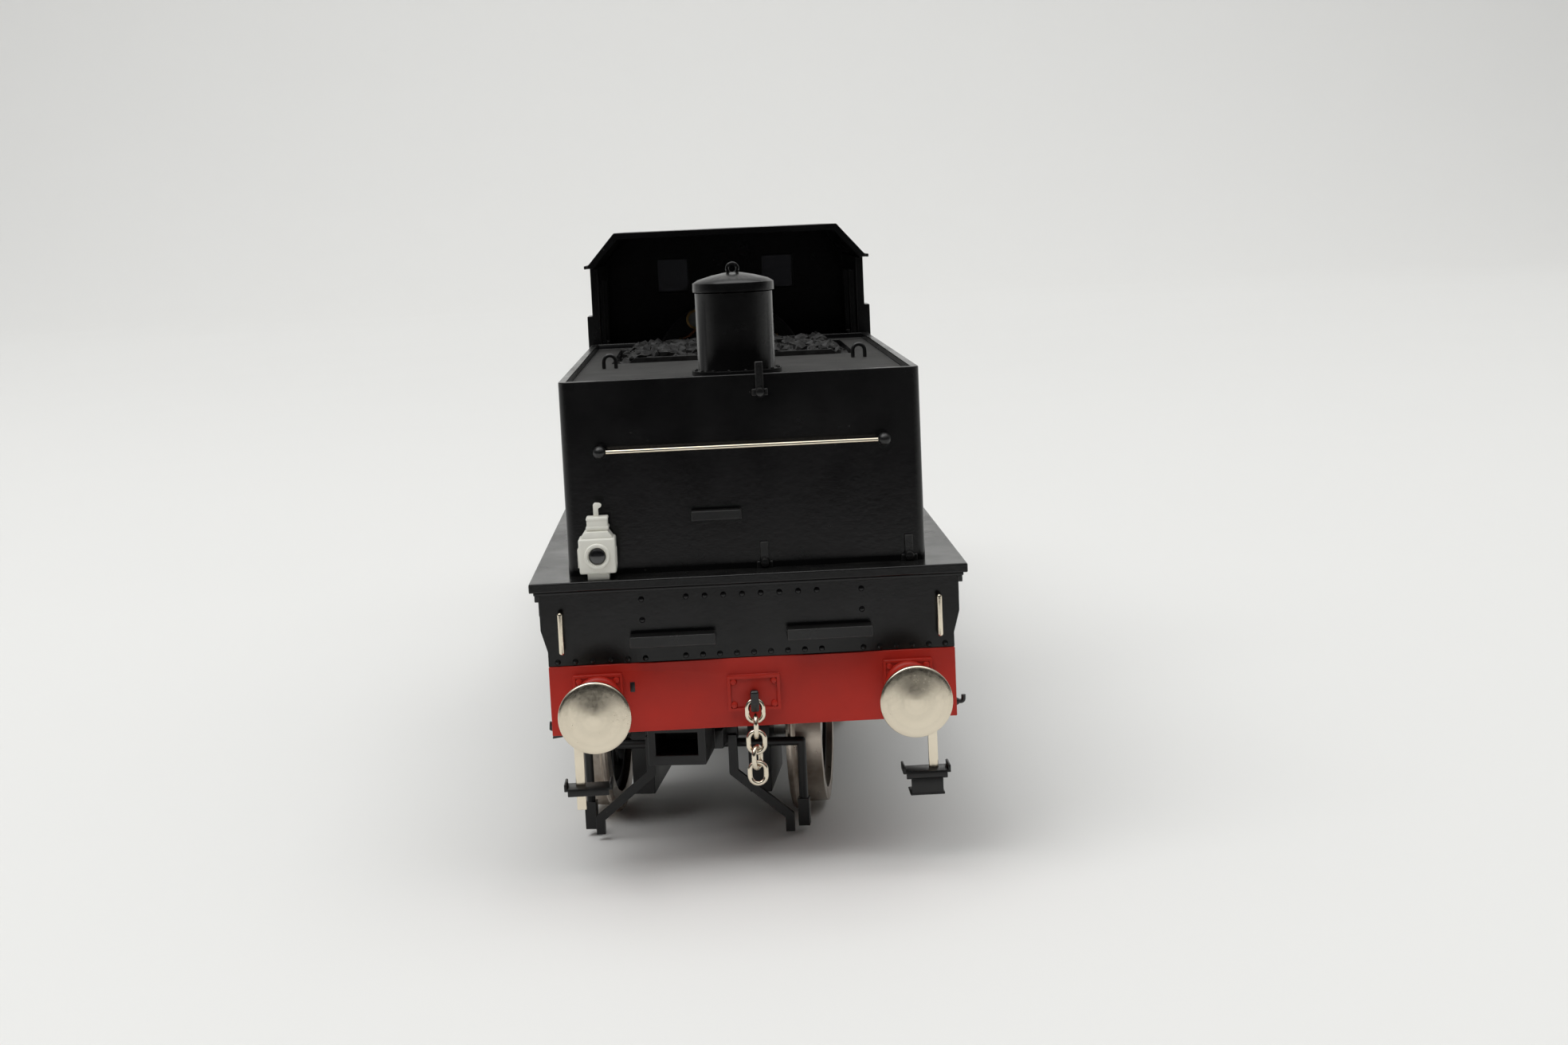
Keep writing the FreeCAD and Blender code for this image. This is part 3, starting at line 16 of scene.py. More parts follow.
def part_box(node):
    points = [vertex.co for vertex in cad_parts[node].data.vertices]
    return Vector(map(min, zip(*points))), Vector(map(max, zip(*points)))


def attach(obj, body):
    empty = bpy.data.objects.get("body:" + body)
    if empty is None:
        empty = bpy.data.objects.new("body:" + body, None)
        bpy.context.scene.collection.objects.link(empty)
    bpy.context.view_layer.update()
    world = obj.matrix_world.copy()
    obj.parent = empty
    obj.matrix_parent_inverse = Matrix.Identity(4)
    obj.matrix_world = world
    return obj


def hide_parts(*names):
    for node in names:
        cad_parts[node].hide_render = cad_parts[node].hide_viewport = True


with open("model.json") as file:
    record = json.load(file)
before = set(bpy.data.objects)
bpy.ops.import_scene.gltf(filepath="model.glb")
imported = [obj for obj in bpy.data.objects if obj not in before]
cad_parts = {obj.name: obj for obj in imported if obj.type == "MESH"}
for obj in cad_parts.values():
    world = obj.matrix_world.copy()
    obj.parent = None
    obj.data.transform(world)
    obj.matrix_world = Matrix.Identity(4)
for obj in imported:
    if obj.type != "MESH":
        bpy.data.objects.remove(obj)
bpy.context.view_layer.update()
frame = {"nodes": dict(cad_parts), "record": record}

bl_info = {
    "name": "Back-Tank Locomotive Finisher",
    "version": (1, 0, 0),
    "blender": (4, 5, 0),
    "location": "3D View > Sidebar > Locomotive",
    "description": "Builds the visible pieces of a model steam locomotive around its CAD frame",
    "category": "Object",
}

MM = 0.001
X = Vector((1, 0, 0))
Y = Vector((0, 1, 0))
Z = Vector((0, 0, 1))
BODY_OF = {node: body for body, nodes in frame["record"]["behaviour"]["bodies"].items()
           for node in nodes}
SLOT_OF = {row["node"]: row["material_slot"] for row in frame["record"]["subparts"]}
ENDS = (("rear", -1), ("front", 1))
SIDES = (("left", -1), ("right", 1))
WAYS = (-1, 1)

# Faces and centres of the CAD pieces in mm, measured from the middle and the rails
PLATE_FACE = 73.3         # a drop plate
BEAM_FACE = 73.5          # a buffer beam
DRAWBAR_FACE = 73.8       # a beam's drawbar plate
BUFFER_FACE = 80.5
LAMP_IRON_FACE = -71.95
CAB_SIDE = 13.2
CAB_FRONT = 2.3
BOILER_AXIS = 32.05
BOILER_RADIUS = 8.6
FIREBOX_HALF_WIDTH = 9.4
SMOKEBOX_RADIUS = 9.2
ROOT = 0.02               # how deep a frame starts inside its face


# ---- sizes and colours
def length(name, description, default):
    return bpy.props.FloatProperty(name=name, description=description, default=default, min=0,
                                   precision=5, unit="LENGTH")


def tint(name, description, default):
    return bpy.props.FloatVectorProperty(name=name, description=description, default=default,
                                         subtype="COLOR", min=0, max=1)


class LocoSizes(bpy.types.PropertyGroup):
    """Sizes of the added detail."""
    edge_softness: length("Edge softness", "Width of the rounding on painted edges", 0.07 * MM)
    rivet_radius: length("Rivet radius", "Radius of a plate rivet's head", 0.22 * MM)
    rivet_height: length("Rivet height", "How far a rivet's head stands up", 0.2 * MM)
    band_height: length("Boiler band height", "How far a boiler band stands off the cladding",
                        0.1 * MM)
    coal_lump: length("Coal lump", "Mean radius of a lump of coal", 0.62 * MM)
    coal_lumps: bpy.props.IntProperty(
        name="Coal lumps", description="Number of lumps in the coal space", default=520, min=0)


class LocoColours(bpy.types.PropertyGroup):
    """Colours of the main finishes."""
    black_paint: tint("Black paint", "Satin black of the body", (0.0032, 0.0032, 0.0035))
    red_paint: tint("Red paint", "Signal red of the buffer beams", (0.46, 0.022, 0.012))
    nickel: tint("Nickel", "Nickel plate on the buffers, rails and chain", (0.8, 0.72, 0.58))
    lamp_paint: tint("Lamp paint", "White of the tail lamp", (0.82, 0.81, 0.74))
    floor: tint("Studio floor", "Pale floor and backdrop", (0.8, 0.8, 0.785))


# ---- node helpers
def feed(tree, node, values):
    """Set a node's inputs, each to a value or from another node's socket."""
    for socket, value in values.items():
        if isinstance(value, bpy.types.NodeSocket):
            tree.links.new(value, node.inputs[socket])
        else:
            node.inputs[socket].default_value = value


def put(tree, kind, values=None, **settings):
    """Add a node, with its settings and its inputs' values or links."""
    node = tree.nodes.new(kind)
    for key, value in settings.items():
        setattr(node, key, value)
    feed(tree, node, values or {})
    return node


def math_node(tree, operation, first, second=0.0, clamp=False):
    node = put(tree, "ShaderNodeMath", {0: first, 1: second}, operation=operation, use_clamp=clamp)
    return node.outputs[0]


def blend(tree, share, first, second):
    """Mix two colours by a share."""
    values = {0: share}
    for socket, colour in ((6, first), (7, second)):
        values[socket] = colour if isinstance(colour, bpy.types.NodeSocket) else (*colour, 1)
    return put(tree, "ShaderNodeMix", values, data_type="RGBA").outputs[2]


def shade(colour, factor):
    return tuple(min(1, channel * factor) for channel in colour)


def map_range(tree, value, from_low, from_high, to_low, to_high):
    node = put(tree, "ShaderNodeMapRange", {0: value, 1: from_low, 2: from_high, 3: to_low, 4: to_high})
    return node.outputs[0]


def group(name, inputs, outputs):
    """An empty shader node group with named float or vector sockets."""
    tree = bpy.data.node_groups.new(name, "ShaderNodeTree")
    for label, default in inputs:
        kind = "NodeSocketVector" if isinstance(default, tuple) else "NodeSocketFloat"
        socket = tree.interface.new_socket(label, in_out="INPUT", socket_type=kind)
        socket.default_value = default
    for label in outputs:
        tree.interface.new_socket(label, in_out="OUTPUT", socket_type="NodeSocketFloat")
    return tree, put(tree, "NodeGroupInput").outputs, put(tree, "NodeGroupOutput").inputs


def group_grain():
    """Fine and broad unevenness of a painted, moulded or cast surface."""
    tree, given, out = group("surface_grain", [("Fine Scale", 2400.0), ("Broad Scale", 160.0)],
                             ["Fine", "Broad"])
    place = put(tree, "ShaderNodeTexCoord").outputs["Object"]
    for label, detail in (("Fine", 3.0), ("Broad", 4.0)):
        noise = put(tree, "ShaderNodeTexNoise", {"Vector": place, "Scale": given[label + " Scale"],
                                                 "Detail": detail, "Roughness": 0.6})
        tree.links.new(noise.outputs["Fac"], out[label])
    return tree


def group_edge_wear_and_glint():
    """A broken mask along edges, where paint has thinned and where a painted highlight stands for light
    glinting on the edges.
    """
    tree, given, out = group("edge_wear_and_glint", [("Width", 0.00015), ("Amount", 1.0)], ["Wear"])
    place = put(tree, "ShaderNodeTexCoord").outputs["Object"]
    rounded = put(tree, "ShaderNodeBevel", {"Radius": given["Width"]}, samples=4).outputs[0]
    normal = put(tree, "ShaderNodeNewGeometry").outputs["Normal"]
    match = put(tree, "ShaderNodeVectorMath", {0: rounded, 1: normal}, operation="DOT_PRODUCT")
    edge = map_range(tree, match.outputs["Value"], 0.995, 0.86, 0.0, 1.0)
    noise = put(tree, "ShaderNodeTexNoise", {"Vector": place, "Scale": 900.0, "Detail": 5.0})
    broken = map_range(tree, noise.outputs["Fac"], 0.35, 0.7, 0.15, 1.0)
    share = math_node(tree, "MULTIPLY", edge, broken)
    tree.links.new(math_node(tree, "MULTIPLY", share, given["Amount"], True), out["Wear"])
    return tree


def group_dust():
    """Dust that has settled on faces that look upwards, and a few specks anywhere."""
    tree, given, out = group("settled_dust", [("Amount", 0.3), ("Specks", 0.3)], ["Dust"])
    coordinates = put(tree, "ShaderNodeTexCoord")
    upward = put(tree, "ShaderNodeSeparateXYZ", {0: coordinates.outputs["Normal"]}).outputs["Z"]
    top = map_range(tree, upward, 0.25, 1.0, 0.0, 1.0)
    cloud = put(tree, "ShaderNodeTexNoise", {"Vector": coordinates.outputs["Object"], "Scale": 420.0,
                                             "Detail": 8.0, "Roughness": 0.7})
    patchy = map_range(tree, cloud.outputs["Fac"], 0.35, 0.75, 0.15, 1.0)
    lying = math_node(tree, "MULTIPLY", math_node(tree, "MULTIPLY", top, patchy), given["Amount"])
    grains = put(tree, "ShaderNodeTexVoronoi", {"Vector": coordinates.outputs["Object"],
                                                "Scale": 620.0, "Randomness": 1.0})
    speck = map_range(tree, grains.outputs["Distance"], 0.035, 0.06, 1.0, 0.0)
    speck = math_node(tree, "MULTIPLY", speck, given["Specks"])
    tree.links.new(math_node(tree, "ADD", lying, speck, True), out["Dust"])
    return tree


def group_turning():
    """Concentric lathe marks round an axis: the centre is mirrored across both ends and sides."""
    tree, given, out = group("turning_marks", [("Centre", (0.0, 0.0, 0.0)), ("Across", (1.0, 0.0, 1.0)),
                                               ("Rings", 9000.0)], ["Height", "Shade"])
    place = put(tree, "ShaderNodeTexCoord").outputs["Object"]
    folded = put(tree, "ShaderNodeVectorMath", {0: place}, operation="ABSOLUTE").outputs[0]
    offset = put(tree, "ShaderNodeVectorMath", {0: folded, 1: given["Centre"]}, operation="SUBTRACT")
    flat = put(tree, "ShaderNodeVectorMath", {0: offset.outputs[0], 1: given["Across"]},
               operation="MULTIPLY")
    radius = put(tree, "ShaderNodeVectorMath", {0: flat.outputs[0]}, operation="LENGTH").outputs["Value"]
    turns = math_node(tree, "MULTIPLY", radius, given["Rings"])
    line = put(tree, "ShaderNodeCombineXYZ", {0: turns}).outputs[0]
    uneven = put(tree, "ShaderNodeTexNoise", {"Vector": line, "Scale": 1.0, "Detail": 4.0,
                                              "Roughness": 0.75})
    tree.links.new(uneven.outputs["Fac"], out["Height"])
    slow = put(tree, "ShaderNodeTexNoise", {"Vector": line, "Scale": 0.22, "Detail": 2.0})
    tree.links.new(slow.outputs["Fac"], out["Shade"])
    return tree


GROUPS = {}
GROUP_MAKERS = {"grain": group_grain, "wear_and_glint": group_edge_wear_and_glint, "dust": group_dust,
                "turning": group_turning}


def use_group(tree, name, **values):
    """Place a shared effect in a material; underscores in the value names stand for spaces."""
    if name not in GROUPS:
        GROUPS[name] = GROUP_MAKERS[name]()
    node = tree.nodes.new("ShaderNodeGroup")
    node.node_tree = GROUPS[name]
    for key, value in values.items():
        node.inputs[key.replace("_", " ")].default_value = value
    return node.outputs


# ---- finishes
def new_finish(name):
    material = bpy.data.materials.new("loco_" + name)
    material.use_nodes = True
    tree = material.node_tree
    tree.nodes.clear()
    shader = put(tree, "ShaderNodeBsdfPrincipled")
    put(tree, "ShaderNodeOutputMaterial", {"Surface": shader.outputs[0]})
    return material, tree, shader


def set_bump(tree, shader, height, distance):
    """Bump from a height, with its distance in mm."""
    bump = put(tree, "ShaderNodeBump", {"Height": height, "Distance": distance * MM, "Strength": 1.0})
    tree.links.new(bump.outputs[0], shader.inputs["Normal"])


def paint(name, colour, roughness, gloss=0.5, grain=2400.0, grain_depth=0.006, dust=0.12,
          specks=0.12, wear_and_glint=0.5, wear_and_glint_colour=(0.045, 0.044, 0.042), dusty=(0.12, 0.117, 0.108), coat=0.0):
    """Paint or moulded plastic: grain, slight cloudiness, dust, and edges blended to another colour for
    thinned paint and, on black, for a painted edge highlight.
    """
    material, tree, shader = new_finish(name)
    grains = use_group(tree, "grain", Fine_Scale=grain, Broad_Scale=190.0)
    lying = use_group(tree, "dust", Amount=dust, Specks=specks)["Dust"]
    rubbed_and_glint = use_group(tree, "wear_and_glint", Width=0.00014, Amount=wear_and_glint)["Wear"]
    base = blend(tree, grains["Broad"], shade(colour, 0.78), shade(colour, 1.22))
    # edges blend to a second colour: thinned paint, and on the black finishes a lighter colour that paints
    # the highlight of light glinting along edges
    base = blend(tree, rubbed_and_glint, base, wear_and_glint_colour)
    base = blend(tree, lying, base, dusty)
    rough = map_range(tree, grains["Broad"], 0.3, 0.7, roughness - 0.05, roughness + 0.06)
    rough = math_node(tree, "ADD", rough, math_node(tree, "MULTIPLY", lying, 0.3), True)
    feed(tree, shader, {"Base Color": base, "Roughness": rough, "Specular IOR Level": gloss,
                        "Coat Weight": coat, "Coat Roughness": 0.25})
    height = math_node(tree, "ADD", grains["Fine"], math_node(tree, "MULTIPLY", lying, 1.5))
    set_bump(tree, shader, height, grain_depth)
    return material


def metal(name, colour, roughness, tarnish=0.2, tarnish_colour=(0.2, 0.15, 0.1), centre=None,
          across=(1.0, 0.0, 1.0), rings=9000.0, ring_depth=0.004):
    """Bare or plated metal, with lathe marks where it was turned about a centre."""
    material, tree, shader = new_finish(name)
    grains = use_group(tree, "grain", Fine_Scale=3000.0, Broad_Scale=300.0)
    stained = map_range(tree, grains["Broad"], 0.42, 0.75, 0.0, tarnish)
    base = blend(tree, grains["Fine"], shade(colour, 0.94), colour)
    height = grains["Fine"]
    depth = 0.003
    rough = map_range(tree, height, 0.3, 0.7, roughness - 0.04, roughness + 0.05)
    if centre is not None:
        marks = use_group(tree, "turning", Centre=centre, Across=across, Rings=rings)
        base = blend(tree, map_range(tree, marks["Shade"], 0.35, 0.65, 0.0, 0.35), base,
                     shade(colour, 0.72))
        height = marks["Height"]
        depth = ring_depth
    rough = math_node(tree, "ADD", rough, math_node(tree, "MULTIPLY", stained, 0.5), True)
    feed(tree, shader, {"Base Color": blend(tree, stained, base, tarnish_colour),
                        "Roughness": rough, "Metallic": 1.0})
    set_bump(tree, shader, height, depth)
    return material


def glazing(name):
    """Smoked moulded windows with a faint haze."""
    material, tree, shader = new_finish(name)
    grains = use_group(tree, "grain", Fine_Scale=500.0, Broad_Scale=150.0)
    haze = blend(tree, grains["Broad"], (0.004, 0.004, 0.005), (0.008, 0.008, 0.009))
    feed(tree, shader, {"Base Color": haze, "Transmission Weight": 0.92, "IOR": 1.46,
                        "Roughness": map_range(tree, grains["Fine"], 0.3, 0.7, 0.04, 0.12)})
    return material


def coal_finish(name):
    """Broken coal: black, with small glossy faces."""
    material, tree, shader = new_finish(name)
    grains = use_group(tree, "grain", Fine_Scale=1500.0, Broad_Scale=700.0)
    place = put(tree, "ShaderNodeTexCoord").outputs["Object"]
    facets = put(tree, "ShaderNodeTexVoronoi", {"Vector": place, "Scale": 1400.0})
    base = blend(tree, grains["Broad"], (0.003, 0.003, 0.003), (0.014, 0.0135, 0.013))
    feed(tree, shader, {"Base Color": base, "Specular IOR Level": 0.3,
                        "Roughness": map_range(tree, grains["Fine"], 0.35, 0.65, 0.4, 0.8)})
    set_bump(tree, shader, facets.outputs["Distance"], 0.06)
    return material


def make_finish(name):
    """Each finish by name. Most are the record's slots; the rest are variants of one."""
    tints = bpy.context.scene.loco_colours
    black = tuple(tints.black_paint)
    nickel = tuple(tints.nickel)
    buffer_centre = middle("rear_right_buffer")
    if name.startswith("tyre_"):
        centre = middle(name[len("tyre_"):])
        return metal(name, (0.5, 0.44, 0.38), 0.3, tarnish=0.75, tarnish_colour=(0.16, 0.11, 0.075),
                     centre=(0.0, abs(centre.y), centre.z), across=(0.35, 1.0, 1.0), rings=7000.0,
                     ring_depth=0.003)
    makers = {
        # the lighter edge colour on satin black is partly a painted highlight for the glint along the
        # tank's edges
        "satin_black": lambda: paint(name, black, 0.22, 0.36, 2600.0, 0.006, wear_and_glint=0.3),
        "deck_black": lambda: paint(name, (0.009, 0.009, 0.0088), 0.62, 0.3, 1500.0, 0.03,
                                    dust=0.3, specks=0.3, wear_and_glint=0.3),
        "matt_black": lambda: paint(name, (0.0035, 0.0035, 0.004), 0.6, 0.25, 2000.0, 0.012),
        "signal_red": lambda: paint(name, tuple(tints.red_paint), 0.38, 0.3, 2800.0, 0.006,
                                    dust=0.08, specks=0.06, wear_and_glint=0.2, wear_and_glint_colour=(0.42, 0.06, 0.04),
                                    dusty=(0.4, 0.17, 0.13)),
        "bright_nickel": lambda: metal(name, nickel, 0.16, tarnish=0.15),
        "turned_nickel": lambda: metal(name, nickel, 0.2, tarnish=0.16,
                                       tarnish_colour=(0.5, 0.41, 0.31),
                                       centre=(buffer_centre.x, 0.0, buffer_centre.z),
                                       rings=6500.0, ring_depth=0.0012),
        "rod_nickel": lambda: metal(name, (0.62, 0.58, 0.52), 0.3, tarnish=0.4),
        # black_metal edges are lighter still: a painted highlight for the glint on lamp irons and other
        # small fittings
        "black_metal": lambda: paint(name, (0.006, 0.006, 0.0063), 0.3, 0.5, 2600.0, 0.01,
                                     wear_and_glint=0.6, wear_and_glint_colour=(0.09, 0.085, 0.08)),
        "screw_steel": lambda: metal(name, (0.5, 0.49, 0.46), 0.32, tarnish=0.3),
        "wheel_black": lambda: paint(name, (0.006, 0.0058, 0.0055), 0.42, 0.35, 1800.0, 0.012,
                                     wear_and_glint=0.3),
        "chassis_metal": lambda: paint(name, (0.006, 0.006, 0.0063), 0.5, 0.35, 1400.0, 0.02,
                                       wear_and_glint=0.5),
        "moulded_black": lambda: paint(name, (0.0042, 0.0042, 0.0045), 0.34, 0.42, 3200.0, 0.008,
                                       dust=0.12, specks=0.15, wear_and_glint=0.25),
        "motor_steel": lambda: metal(name, (0.45, 0.44, 0.42), 0.35, tarnish=0.25),
        "gear_nylon": lambda: paint(name, (0.8, 0.77, 0.68), 0.35, 0.5, wear_and_glint=0.0, dust=0.05),
        "lamp_white": lambda: paint(name, tuple(tints.lamp_paint), 0.42, 0.4, 2600.0, 0.006,
                                    dust=0.12, specks=0.0, wear_and_glint=0.12, wear_and_glint_colour=(0.5, 0.48, 0.42),
                                    dusty=(0.55, 0.52, 0.45)),
        "lens_black": lambda: paint(name, (0.003, 0.003, 0.004), 0.09, 0.6, 3000.0, 0.001,
                                    dust=0.05, specks=0.1, wear_and_glint=0.0, coat=1.0),
        "dial_white": lambda: paint(name, (0.14, 0.14, 0.13), 0.3, 0.5, wear_and_glint=0.0, dust=0.05),
        "coal": lambda: coal_finish(name),
        "clear_glazing": lambda: glazing(name),
        "brass": lambda: metal(name, (0.3, 0.2, 0.08), 0.34, tarnish=0.5,
                               tarnish_colour=(0.16, 0.1, 0.04)),
        "copper": lambda: metal(name, (0.3, 0.13, 0.07), 0.36, tarnish=0.6,
                                tarnish_colour=(0.12, 0.06, 0.04)),
    }
    return makers[name]()


def finish(name):
    """A finish, made the first time it is asked for; the CAD's own materials have the bare names."""
    return bpy.data.materials.get("loco_" + name) or make_finish(name)


# ---- shapes
def mm(*values):
    return Vector(values) * MM


def middle(node):
    low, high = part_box(node)
    return (low + high) / 2


def box_mm(node):
    return [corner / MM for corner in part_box(node)]


def verts_in(items):
    return [item for item in items if isinstance(item, bmesh.types.BMVert)]


def edges_in(items):
    return [item for item in items if isinstance(item, bmesh.types.BMEdge)]


def edges_at(verts):
    return list({edge for vert in verts for edge in vert.link_edges})


def round_edges(bm, verts, soft, segments=2):
    """Bevel the edges that meet the vertices, by soft in mm."""
    bmesh.ops.bevel(bm, geom=edges_at(verts), offset=soft * MM, segments=segments, affect="EDGES",
                    profile=0.5, material=-1)


def turn(bm, profile, centre, axis, steps=64, closed=False):
    """Spin a profile of (radius, distance along the axis) in mm round an axis."""
    axis = Vector(axis).normalized()
    across = axis.orthogonal().normalized()
    verts = [bm.verts.new(Vector(centre) + (across * radius + axis * along) * MM)
             for radius, along in profile]
    edges = [bm.edges.new(pair) for pair in zip(verts, verts[1:])]
    if closed:
        edges.append(bm.edges.new((verts[-1], verts[0])))
    bmesh.ops.spin(bm, geom=verts + edges, cent=Vector(centre), axis=axis, angle=math.tau, steps=steps,
                   use_merge=True, use_duplicate=False)


def block(bm, first, last, soft=0.0, segments=2):
    """A box between two opposite corners in mm, with its edges rounded by soft."""
    low = Vector(tuple(map(min, first, last))) * MM
    high = Vector(tuple(map(max, first, last))) * MM
    matrix = Matrix.Translation((low + high) / 2) @ Matrix.Diagonal((*(high - low), 1))
    made = bmesh.ops.create_cube(bm, size=1, matrix=matrix)
    if soft:
        round_edges(bm, made["verts"], soft, segments)


def outline_face(bm, outline):
    """A flat face through points in mm, and its vertices."""
    verts = [bm.verts.new(Vector(point) * MM) for point in outline]
    return bmesh.ops.contextual_create(bm, geom=verts)["faces"][0], verts


def push_out(bm, faces, depth):
    """Extrude faces by a depth vector in mm, and return the new vertices."""
    moved = verts_in(bmesh.ops.extrude_face_region(bm, geom=faces, use_keep_orig=True)["geom"])
    bmesh.ops.translate(bm, verts=moved, vec=Vector(depth) * MM)
    return moved


def prism(bm, outline, depth, soft=0.0):
    """A flat outline of points in mm pushed out by a depth vector in mm."""
    face, verts = outline_face(bm, outline)
    moved = push_out(bm, [face], depth)
    if soft:
        round_edges(bm, verts + moved, soft)


def window_frame(bm, outline, width, depth):
    """A raised frame: an outline in mm, its inset taken out, pushed out by a depth vector."""
    face = outline_face(bm, outline)[0]
    ring = bmesh.ops.inset_region(bm, faces=[face], thickness=width * MM, use_boundary=True,
                                  use_even_offset=True)["faces"]
    bmesh.ops.delete(bm, geom=[face], context="FACES_ONLY")
    push_out(bm, ring, depth)


def border(bm, face, x, z, width, depth):
    """A raised rectangular frame on a face square to Y, between two ends of X and of Z in mm."""
    window_frame(bm, [(x[0], face, z[0]), (x[1], face, z[0]), (x[1], face, z[1]), (x[0], face, z[1])],
                 width, (0, depth, 0))


def stud(bm, centre, normal, r, h, steps=10):
    """A rivet or bolt head of radius r and height h in mm, on a face."""
    turn(bm, [(0, -0.4 * h), (r, -0.4 * h), (r, 0.25 * h), (0.72 * r, 0.8 * h), (0, h)], centre, normal,
         steps)


def sweep_straight(bm, ring, step):
    """Extrude edges by a vector, and return the new vertices and edges."""
    old = {vert for edge in ring for vert in edge.verts}
    made = bmesh.ops.extrude_edge_only(bm, edges=ring)["geom"]
    moved = verts_in(made)
    bmesh.ops.translate(bm, verts=moved, vec=step)
    return moved, [edge for edge in edges_in(made) if not any(vert in old for vert in edge.verts)]


def sweep_round(bm, geom, centre, axis, angle, steps):
    """Spin vertices and edges round an axis, and return the last edges."""
    made = bmesh.ops.spin(bm, geom=geom, cent=centre, axis=axis, angle=angle, steps=steps)
    return edges_in(made["geom_last"])


def bent_wire(bm, points, radius, bend=0.5, sides=14):
    """A round wire through corners in mm, each corner an arc of radius bend."""
    points = [Vector(point) * MM for point in points]
    bend *= MM
    heading = (points[1] - points[0]).normalized()
    facing = heading.to_track_quat("Z", "Y").to_matrix().to_4x4()
    start = bmesh.ops.create_circle(bm, segments=sides, radius=radius * MM,
                                    matrix=Matrix.Translation(points[0]) @ facing)
    first = ring = edges_at(start["verts"])
    here = points[0]
    for number, corner in enumerate(points[1:], 1):
        back = 0.0
        if number < len(points) - 1:
            ahead = (points[number + 1] - corner).normalized()
            angle = heading.angle(ahead)
            back = bend * math.tan(angle / 2) if angle > 1e-4 else 0.0
        stop = corner - heading * back
        moved, ring = sweep_straight(bm, ring, stop - here)
        here = stop
        if back:
            axis = heading.cross(ahead).normalized()
            centre = here + axis.cross(heading).normalized() * bend
            ring = sweep_round(bm, moved + ring, centre, axis, angle, max(3, math.ceil(angle / 0.26)))
            heading = ahead
            here = corner + heading * back
    bmesh.ops.holes_fill(bm, edges=first + ring, sides=0)


def oval_link(bm, centre, width, height, radius, turned_by):
    """A chain link: two half turns and two straight sides, turned about its upright axis."""
    bend = width / 2 - radius
    half = (height - width) / 2 * MM
    matrix = Matrix.Translation(centre + X * bend * MM - Z * half)
    made = bmesh.ops.create_circle(bm, segments=16, radius=radius * MM, matrix=matrix)
    ring = edges_at(made["verts"])
    for way in (1, -1):
        moved, ring = sweep_straight(bm, ring, Z * 2 * half * way)
        ring = sweep_round(bm, moved + ring, centre + Z * half * way, -Y, math.pi, 18)
    bmesh.ops.remove_doubles(bm, verts=bm.verts, dist=0.002 * MM)
    bmesh.ops.rotate(bm, verts=bm.verts, cent=centre, matrix=Matrix.Rotation(turned_by, 3, "Z"))


# ---- pieces
def piece(name, bm, slot, look=None, replaces=(), smooth=38, soft=0.0, body="locomotive"):
    """Turn a bmesh into a finished piece that rides on a body. Soft is in mm."""
    bmesh.ops.remove_doubles(bm, verts=bm.verts, dist=0.0005 * MM)
    bmesh.ops.recalc_face_normals(bm, faces=bm.faces)
    mesh = bpy.data.meshes.new(name)
    bm.to_mesh(mesh)
    bm.free()
    mesh.shade_smooth()
    mesh.set_sharp_from_angle(angle=math.radians(smooth))
    made = bpy.data.objects.new(name, mesh)
    bpy.context.scene.collection.objects.link(made)
    mesh.materials.append(finish(look or slot))
    if soft:
        rounding = made.modifiers.new("soft_edges", "BEVEL")
        rounding.width = soft * MM
        rounding.segments = 2
        rounding.limit_method = "ANGLE"
        rounding.angle_limit = math.radians(smooth)
        rounding.harden_normals = True
    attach(made, body)
    if replaces:
        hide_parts(*replaces)
    return made


def refine(node, soft=0.0, look=None, smooth=38):
    """A merged copy of a CAD node, with softened edges, that stands for it."""
    bm = bmesh.new()
    bm.from_mesh(frame["nodes"][node].data)
    bmesh.ops.remove_doubles(bm, verts=bm.verts, dist=0.002 * MM)
    bmesh.ops.dissolve_limit(bm, angle_limit=math.radians(0.6), verts=bm.verts, edges=bm.edges,
                             delimit={"NORMAL"})
    return piece(node + "_finished", bm, SLOT_OF[node], look, (node,), smooth, soft, BODY_OF[node])


class StepOperator:
    """Shared by the operators: what each one builds is in its build method."""
    bl_options = {"REGISTER", "UNDO"}

    def execute(self, context):
        self.build(context.scene.loco_sizes)
        return {"FINISHED"}


